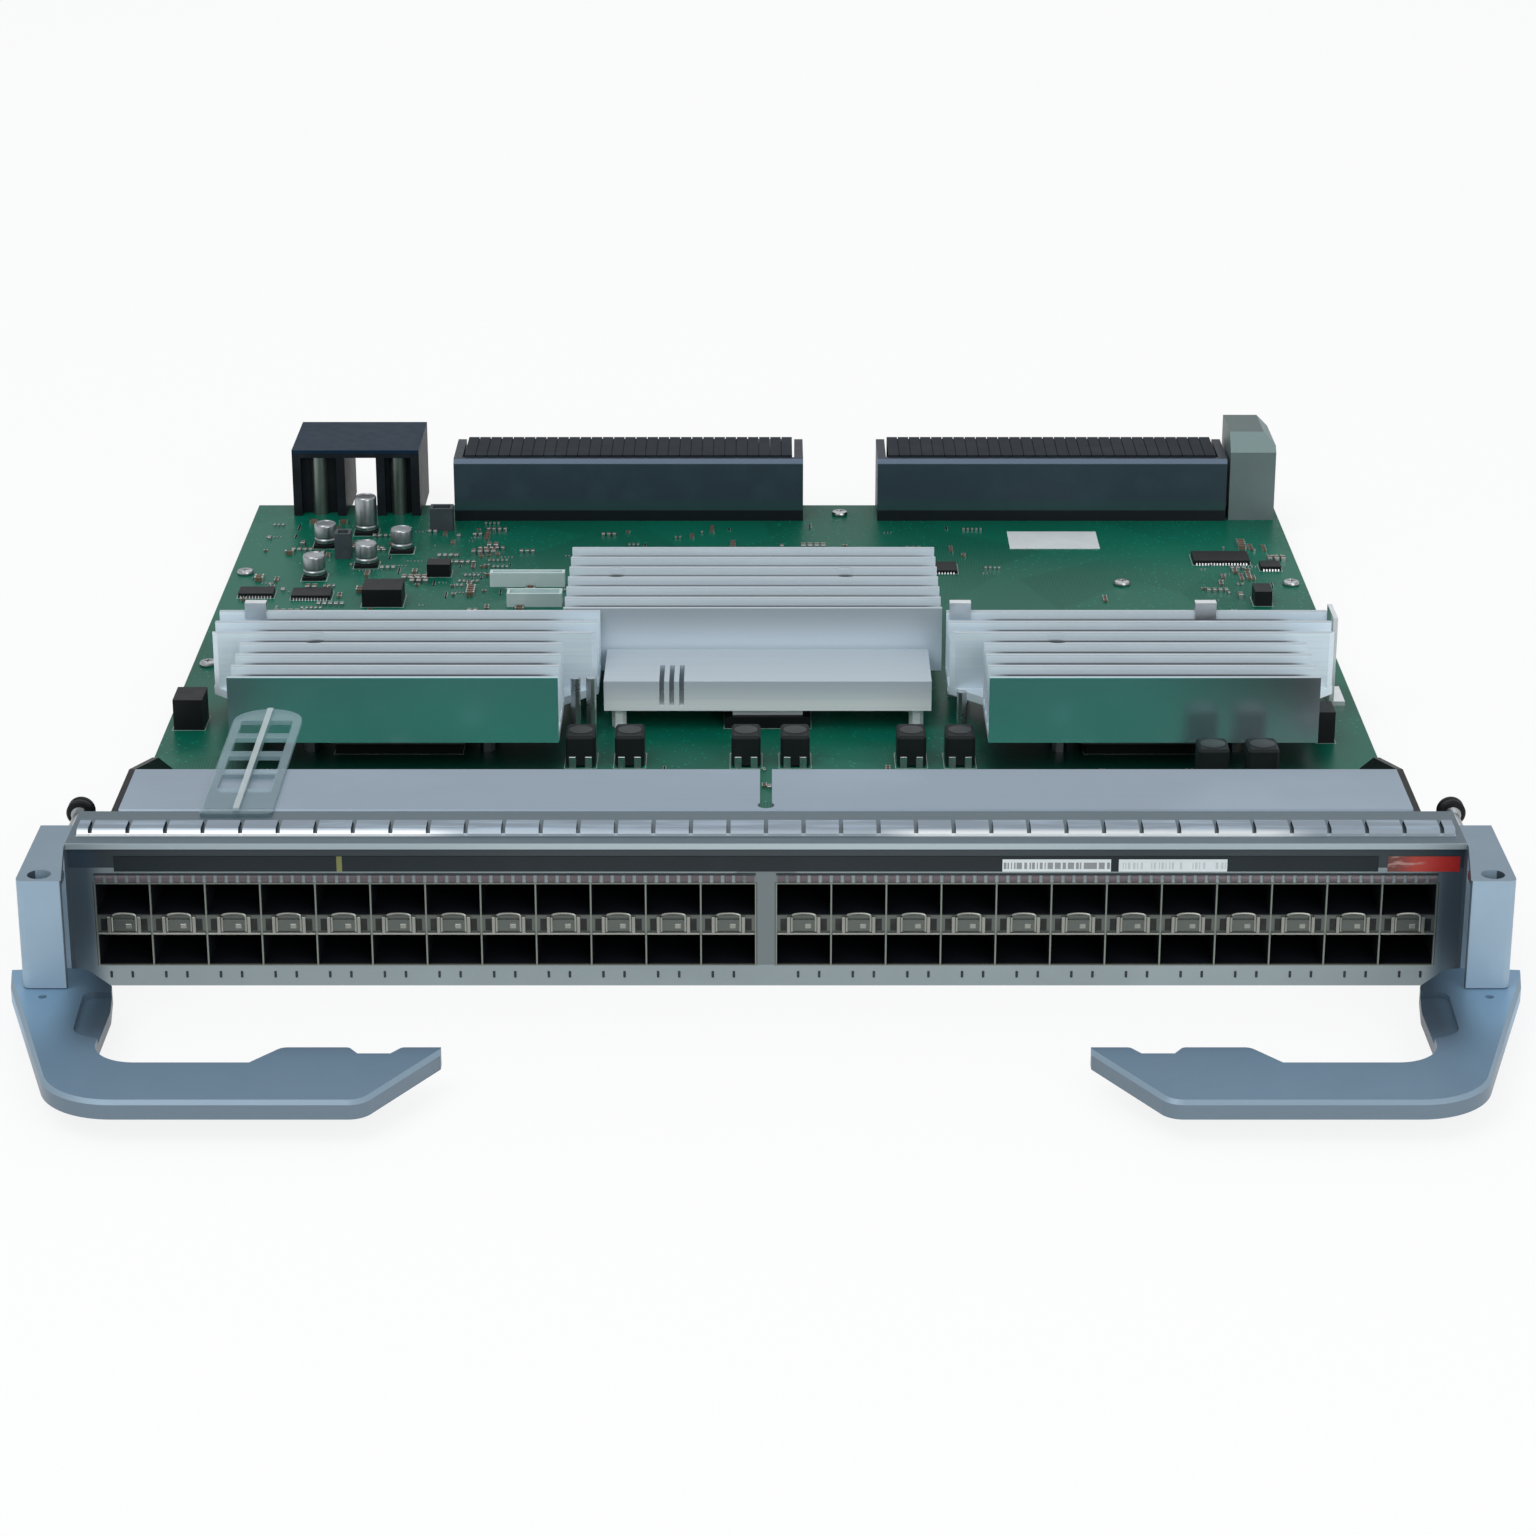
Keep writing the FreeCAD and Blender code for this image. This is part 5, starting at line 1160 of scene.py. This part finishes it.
def chip_leads():
    """Gull-wing leads down the two long sides of the flat chips: a foot, a rise and a shoulder."""
    low, high = solids_of("board_chips")
    flat = (high - low)[:, Z] < 2.0 * MM
    surfaces = []
    for a, b in zip(low[flat], high[flat]):
        sole, middle = a[Z] + 0.02 * MM, (a[Z] + b[Z]) / 2
        path = ((-1.3 * MM, sole), (-0.7 * MM, sole), (-0.5 * MM, middle - 0.1 * MM), (0.1 * MM, middle))
        lead = ribbon(path, 0.45 * MM, 0.14 * MM)
        spots = np.arange(a[X] + 0.9 * MM, b[X] - 0.6 * MM, 1.0 * MM)
        surfaces.append(stamped(lead, [(x, a[Y], 0.0) for x in spots]))
        surfaces.append(stamped(lead.mapped(np.diag((1, -1, 1))), [(x, b[Y], 0.0) for x in spots]))
    return together(surfaces)


def inductor_set():
    """Moulded power inductors: a cube with rounded edges and a low round boss, and a tinned strap folded up
    the lower front and back near each side."""
    boss_rise, strap_thick, margin = 0.25 * MM, 0.6 * MM, 0.9 * MM
    surfaces = []
    for low, high in zip(*solids_of("power_inductors")):
        wide, centre = high[X] - low[X], centre_of(low, high)
        strap = 0.24 * wide
        inner = np.array((0.0, 0.18 * MM, 0.0))
        body = cut_boxes(low + inner, high - inner - (0, 0, boss_rise), 0.75 * MM)
        boss = turned(((0.40 * wide, -0.1 * MM), (0.40 * wide, 0.15 * MM), (0.36 * wide, boss_rise)), 24)
        boss = boss.moved((centre[X], centre[Y], high[Z] - boss_rise)).painted(2)
        top = low[Z] + 0.34 * (high[Z] - low[Z])
        straps = [cut_boxes((x, y, low[Z]), (x + strap, y + strap_thick, top), 0.12 * MM).painted(1)
                  for x in (low[X] + margin, high[X] - margin - strap)
                  for y in (low[Y], high[Y] - strap_thick)]
        surfaces += [body, boss] + straps
    return together(surfaces)


def can_set():
    """Chip electrolytic capacitors: can with a crimped waist and a rolled shoulder on a plastic base."""
    surfaces = []
    for low, high in zip(*solids_of("storage_capacitors")):
        half, tall = (high[X] - low[X]) / 2, high[Z] - low[Z]
        centre = centre_of(low, high)
        radius = half - 0.1 * MM
        can = turned(((0.9 * radius, 1.2 * MM), (radius, 1.6 * MM), (radius, 2.7 * MM),
                      (0.92 * radius, 3.1 * MM), (0.92 * radius, 3.4 * MM), (radius, 3.8 * MM),
                      (radius, tall - 0.7 * MM), (0.96 * radius, tall - 0.25 * MM), (0.88 * radius, tall),
                      (0.8 * radius, tall), (0.76 * radius, tall - 0.2 * MM)), 40)
        cut = 0.35 * half
        outline = ((-half, -half), (half - cut, -half), (half, -half + cut), (half, half - cut),
                   (half - cut, half), (-half, half))
        base = slab(outline, 0.0, 1.3 * MM, 0.15 * MM).painted(1)
        out, back = half + 0.02 * MM, half - 0.8 * MM
        feet = cut_boxes([(-out, -0.6 * MM, 0.0), (back, -0.6 * MM, 0.0)],
                         [(-back, 0.6 * MM, 0.2 * MM), (out, 0.6 * MM, 0.2 * MM)], 0.04 * MM).painted(2)
        surfaces.append(together([can, base, feet]).moved((centre[X], centre[Y], low[Z])))
    return together(surfaces)


def chip_part(length, width, height, end, body):
    """Chip resistor or capacitor along X: rings step in from the tinned ends to the body, which has its own
    material number."""
    low, half, rim = 0.05 * width, length / 2, 0.06 * length
    spots = ((-half, 0.9), (-half + rim, 1.0), (-half + end, 1.0), (-half + end, 0.9), (half - end, 0.9),
             (half - end, 1.0), (half - rim, 1.0), (half, 0.9))
    rings = [[(x, -k * width / 2, low * (1 - k)), (x, k * width / 2, low * (1 - k)),
              (x, k * width / 2, height * k), (x, -k * width / 2, height * k)] for x, k in spots]
    surface = loft(rings)
    sides = np.repeat((1, 1, 1, body, 1, 1, 1), 4)
    return Surface(surface.points, surface.corners, surface.counts, np.append(sides, (1, 1)))


# Stretches of the board with small parts: x from, x to, y from, y to, and their share of the rows.
PART_ZONES = (
    (-0.176, -0.088, 0.300, 0.392, 0.34), (-0.176, -0.120, 0.214, 0.296, 0.10),
    (-0.060, 0.080, 0.300, 0.386, 0.08), (0.146, 0.178, 0.300, 0.362, 0.10),
    (0.080, 0.178, 0.214, 0.300, 0.06), (-0.165, 0.165, 0.120, 0.142, 0.14),
    (-0.165, 0.165, 0.058, 0.118, 0.10), (-0.118, -0.066, 0.276, 0.360, 0.08),
    (-0.170, -0.138, 0.066, 0.112, 0.09),
)
# Length, width, height and tinned end of each kind in mm, and the material number of its body.
PART_KINDS = ((1.6, 0.8, 0.8, 0.35, 0), (1.0, 0.5, 0.35, 0.25, 2), (2.0, 1.25, 1.1, 0.45, 0),
              (3.2, 1.6, 1.5, 0.6, 0))
PART_SHARES = (0.4, 0.3, 0.2, 0.1)


def blocked_boxes():
    """Boxes that small parts keep clear of: the solids of the nodes that stand on the board, and the whole
    boxes of the large hollow ones."""
    ignored = {"main_board", "carrier_tray", "front_panel", "top_cover", "pull_tag"}
    hollow = ["left_heatsink", "centre_heatsink", "right_heatsink", "air_baffle", "left_side_gusset",
              "right_side_gusset"]
    boxes = [solids_of(node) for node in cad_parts
             if node not in ignored and "heatsink" not in node and "side_gusset" not in node]
    boxes += [[corner[None] for corner in corners_of(node)] for node in hollow]
    return [np.concatenate(corners) for corners in zip(*boxes)]


def small_part_set(settings):
    """Chip parts in short rows on the board: rows start at random in weighted zones, run along X or Y, and
    a part that would touch another one or anything taller than the board is left out."""
    grid, gap, clear = 0.5 * MM, 0.7 * MM, 0.5 * MM
    chance = np.random.RandomState(settings.seed)
    zones = np.array(PART_ZONES)
    rows = settings.small_parts // 3
    zone = zones[chance.choice(len(zones), rows, p=zones[:, 4] / zones[:, 4].sum())]
    start = zone[:, (0, 2)] + chance.rand(rows, 2) * (zone[:, (1, 3)] - zone[:, (0, 2)])
    start = np.round(start / grid) * grid
    along_y = chance.rand(rows) < 0.5
    kind = chance.choice(len(PART_KINDS), rows, p=PART_SHARES)
    count = chance.randint(1, 6, rows)
    low, high = blocked_boxes()
    board = corners_of("main_board")[HIGH]
    limit_x, limit_y = board[X] - 1 * MM, board[Y] - 19 * MM
    surfaces, taken = [], np.zeros((0, 2))
    for n in range(rows):
        *size, body = PART_KINDS[kind[n]]
        size = np.array(size) * MM
        step, reach = size[1] + gap, size[0] / 2 + clear
        part = chip_part(*size, body)
        if not along_y[n]:
            part = part.mapped(X_TO_Y)
        for i in range(count[n]):
            x, y = start[n] + ((0.0, i * step) if along_y[n] else (i * step, 0.0))
            if abs(x) + reach > limit_x or y + reach > limit_y:
                continue
            if np.any((low[:, X] - reach < x) & (x < high[:, X] + reach)
                      & (low[:, Y] - reach < y) & (y < high[:, Y] + reach)):
                continue
            if np.any(np.hypot(*(taken - (x, y)).T) < 0.98 * step):
                continue
            taken = np.concatenate([taken, [(x, y)]])
            surfaces.append(part.moved((x, y, board[Z])))
    return together(surfaces)


def print_frames():
    """Printed corner frames round the larger parts: four thin lines a little outside each part's box."""
    boxes = [solids_of(node) for node in
             ("board_chips", "power_inductors", "storage_capacitors", "chip_packages")]
    low, high = [np.concatenate(corners)[:, :Z] for corners in zip(*boxes)]
    top, line, margin = edge_of("main_board", HIGH, Z), 0.2 * MM, 0.55 * MM
    starts, ends = [], []
    for (x0, y0), (x1, y1) in zip(low - margin, high + margin):
        starts += [(x0, y0, top), (x0, y1 - line, top), (x0, y0 + line, top), (x1 - line, y0 + line, top)]
        ends += [(x1, y0 + line), (x1, y1), (x0 + line, y1 - line), (x1, y1 - line)]
    return plain_boxes(starts, [(x, y, top + 0.03 * MM) for x, y in ends])


def mating_contacts(side):
    """Signal contacts on the rear of the wafers: ten pairs of short gold beams down each one."""
    low, high = solids_of(side + "_backplane_wafers")
    lift = np.linspace(low[0, Z] + 2.0 * MM, high[0, Z] - 2.0 * MM, 10)
    places = [(centre + shift, 0.0, z) for centre in centre_of(low, high)[:, X] for z in lift
              for shift in (-0.8 * MM, 0.8 * MM)]
    rear = high[0, Y]
    beam = plain_boxes((-0.25 * MM, rear - 0.3 * MM, -0.35 * MM), (0.25 * MM, rear + 0.25 * MM, 0.35 * MM))
    return stamped(beam, places)


def wafer_shields_and_slit_shade(side):
    """Ground shields: a thin plate in each slit between two wafers, a little lower than they are; in the
    wafers' dark finish they also close the view through the slits, as painted shade.
    """
    low, high = solids_of(side + "_backplane_wafers")
    order = np.argsort(low[:, X])
    low, high = low[order], high[order]
    start = np.stack([high[:-1, X], low[1:, Y] + 1 * MM, low[1:, Z] + 0.5 * MM], -1)
    end = np.stack([low[1:, X], high[1:, Y] - 1 * MM, high[1:, Z] - 0.4 * MM], -1)
    # Dark plates in the slits: ground shields that also stand in for the shade there.
    return plain_boxes(start + (0.02 * MM, 0, 0), end - (0.02 * MM, 0, 0))


# ---- operators ----
class CARD_OT_finishes(Operator):
    """Give every node of the frame its finish"""
    bl_idname = "line_card.finishes"
    bl_label = "Finishes"

    def execute(self, context):
        FINISHES.update(make_finishes(context.scene.card_colours))
        for node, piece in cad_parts.items():
            piece.data.materials.clear()
            piece.data.materials.append(FINISHES[NODE_FINISHES[plain_name(node)]])
        return {"FINISHED"}


class CARD_OT_screws(Operator):
    """Make the pan-head screws and the rivets"""
    bl_idname = "line_card.screws"
    bl_label = "Screws and Rivets"

    def execute(self, context):
        for node in ("board_screws", "gusset_screws", "heatsink_screws"):
            make_piece("cross_" + node, upright_screws(node), ["screw"], [node])
        make_piece("cross_bracket_screws", bracket_screws(), ["screw"], ["bracket_screws"])
        make_piece("domed_rivets", dome_rivets(), ["screw"], ["tray_rivets"])
        return {"FINISHED"}


class CARD_OT_captives(Operator):
    """Make both captive thumbscrews and their retaining rings"""
    bl_idname = "line_card.captives"
    bl_label = "Captive Screws"

    def execute(self, context):
        mirror = np.diag((-1, 1, 1))
        for side, sign in SIDES:
            screw, ring = end_screw(), end_ring()
            if sign < 0:
                screw, ring = screw.mapped(mirror), ring.mapped(mirror)
            node = side + "_captive_screw"
            make_piece(side + "_thumbscrew", screw, ["screw"], [node], side + "_screw")
            node = side + "_screw_ring"
            make_piece(side + "_nylon_ring", ring, ["black"], [node], side + "_ring")
        return {"FINISHED"}


class CARD_OT_ports(Operator):
    """Make the ports' springs, latches, contacts, tabs and air holes"""
    bl_idname = "line_card.ports"
    bl_label = "Ports"

    def execute(self, context):
        low, high = solids_of("port_emi_springs")
        bars = solids_of("right_cage_mid_bars")[LOW][:, X]
        pitch = np.diff(np.sort(bars))[0]
        per_port = context.scene.card_parts.springs_per_port
        springs = together([port_springs(a, b, per_port, pitch) for a, b in zip(low, high)])
        make_piece("port_ground_springs", springs, ["spring", "slot"],
                   ["port_emi_springs"])
        for side, _ in SIDES:
            make_piece(side + "_latch_springs", latch_fronts(side), ["latch", "bar"])
            make_piece(side + "_port_contacts", port_contacts(side), ["gold"])
        # The cage tabs take the near-black tab_shadowed finish: painted shade of the slots they pass through.
        make_piece("cage_tabs", cage_tabs(), ["slot"])
        make_piece("cage_air_holes", cage_vents(), ["bar", "black"])
        return {"FINISHED"}


class CARD_OT_board_parts(Operator):
    """Make the inductors, capacitors, chip leads, small chip parts and printed frames"""
    bl_idname = "line_card.board_parts"
    bl_label = "Board Parts"

    def execute(self, context):
        make_piece("moulded_inductors", inductor_set(), ["inductor", "tin", "slate"],
                   ["power_inductors"])
        make_piece("crimped_capacitors", can_set(), ["can", "black", "tin"],
                   ["storage_capacitors"])
        make_piece("chip_leads", chip_leads(), ["tin"])
        make_piece("small_chip_parts", small_part_set(context.scene.card_parts),
                   ["ceramic", "tin", "black"])
        make_piece("board_print", print_frames(), ["print"])
        return {"FINISHED"}


class CARD_OT_backplane(Operator):
    """Make the backplane connectors' mating contacts"""
    bl_idname = "line_card.backplane"
    bl_label = "Backplane Contacts"

    def execute(self, context):
        for side, _ in SIDES:
            make_piece(side + "_mating_contacts", mating_contacts(side), ["gold"])
            make_piece(side + "_wafer_shields", wafer_shields_and_slit_shade(side), ["wafer"])
        return {"FINISHED"}


# Name, place, size in metres and power in watts of each lamp.
LAMPS = (("key", (-0.7, -0.6, 1.5), 1.2, 9.0), ("fill", (0.8, -1.4, 0.7), 1.2, 10.0),
         ("back", (0.1, 1.4, 1.1), 1.4, 3.0))
LAMP_AIM = (0.0, 0.15, 0.0)


class CARD_OT_stage(Operator):
    """Set the camera, the lamps, the floor and the even light"""
    bl_idname = "line_card.stage"
    bl_label = "Stage"

    def execute(self, context):
        settings = context.scene.card_stage
        scene = context.scene
        panel_face = edge_of("left_cage_shell", LOW, Y)
        camera = bpy.data.objects.new("camera", bpy.data.cameras.new("camera"))
        camera.data.lens = settings.lens
        camera.data.sensor_width = 36.0
        camera.data.clip_start = 0.05
        camera.data.shift_x = 0.0013
        camera.location = (0.0, panel_face - settings.distance, settings.height)
        camera.rotation_euler = (math.pi / 2 - settings.pitch, 0.0, 0.0)
        scene.collection.objects.link(camera)
        scene.camera = camera
        for name, place, size, power in LAMPS:
            lamp = bpy.data.lights.new(name, "AREA")
            lamp.size = size
            lamp.energy = power
            holder = bpy.data.objects.new(name, lamp)
            holder.location = place
            aim = np.array(LAMP_AIM) - place
            holder.rotation_euler = (math.atan2(math.hypot(aim[X], aim[Y]), -aim[Z]), 0.0,
                                     math.atan2(aim[Y], aim[X]) - math.pi / 2)
            scene.collection.objects.link(holder)
        make_floor(settings)
        make_world(settings)
        scene.view_settings.view_transform = "Standard"
        return {"FINISHED"}


def floor_finish(settings):
    """Pale matt floor; camera, mirror and glass rays see it mostly as plain white, with a faint shadow."""
    finish = Finish("floor_white")
    ray = finish.add("ShaderNodeLightPath")
    seen = ray.pick("Is Camera Ray").most(ray.pick("Is Glossy Ray")).most(ray.pick("Is Transmission Ray"))
    matt = finish.add("ShaderNodeBsdfDiffuse", inputs={"Color": (*settings.floor, 1.0)})
    white = finish.add("ShaderNodeEmission", inputs={"Color": (1.0, 1.0, 1.0, 1.0), "Strength": 1.0})
    mixed = finish.add("ShaderNodeMixShader", inputs={0: seen * 0.85, 1: matt, 2: white})
    finish.add("ShaderNodeOutputMaterial", inputs={"Surface": mixed})
    return finish.material


def make_floor(settings):
    """Wide plain floor at the card's underside."""
    half = 6.0
    mesh = bpy.data.meshes.new("floor")
    mesh.from_pydata([(-half, -half, 0.0), (half, -half, 0.0), (half, half, 0.0), (-half, half, 0.0)], [],
                     [(0, 1, 2, 3)])
    mesh.materials.append(floor_finish(settings))
    floor = bpy.data.objects.new("floor", mesh)
    bpy.context.scene.collection.objects.link(floor)


def make_world(settings):
    """Even pale light from all round."""
    world = bpy.data.worlds.new("even_light")
    world.use_nodes = True
    nodes = world.node_tree.nodes
    nodes.clear()
    output = nodes.new("ShaderNodeOutputWorld")
    background = nodes.new("ShaderNodeBackground")
    background.inputs["Color"].default_value = (0.96, 0.98, 1.0, 1.0)
    background.inputs["Strength"].default_value = settings.world
    world.node_tree.links.new(background.outputs[0], output.inputs[0])
    bpy.context.scene.world = world


class CARD_PT_panel(Panel):
    """Lists the steps that dress the card"""
    bl_idname = "CARD_PT_panel"
    bl_label = "Line Card"
    bl_space_type = "VIEW_3D"
    bl_region_type = "UI"
    bl_category = "Line Card"

    def draw(self, context):
        for step in STEPS:
            self.layout.operator(step.bl_idname)
        for settings in (context.scene.card_colours, context.scene.card_parts, context.scene.card_stage):
            column = self.layout.column()
            for name in settings.bl_rna.properties.keys():
                if name not in {"rna_type", "name"}:
                    column.prop(settings, name)


STEPS = (CARD_OT_finishes, CARD_OT_screws, CARD_OT_captives, CARD_OT_ports, CARD_OT_board_parts,
         CARD_OT_backplane, CARD_OT_stage)
GROUPS = (("card_colours", CardColours), ("card_parts", FinePartSizes), ("card_stage", StageSettings))


def register():
    """Registers the settings, the operators and the panel."""
    for name, group in GROUPS:
        bpy.utils.register_class(group)
        setattr(bpy.types.Scene, name, PointerProperty(type=group))
    for step in STEPS:
        bpy.utils.register_class(step)
    bpy.utils.register_class(CARD_PT_panel)


def unregister():
    """Takes away what register() added."""
    bpy.utils.unregister_class(CARD_PT_panel)
    for step in STEPS:
        bpy.utils.unregister_class(step)
    for name, group in GROUPS:
        delattr(bpy.types.Scene, name)
        bpy.utils.unregister_class(group)


def main():
    """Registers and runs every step."""
    register()
    for step in STEPS:
        family, action = step.bl_idname.split(".")
        getattr(getattr(bpy.ops, family), action)()


if __name__ == "__main__":
    main()
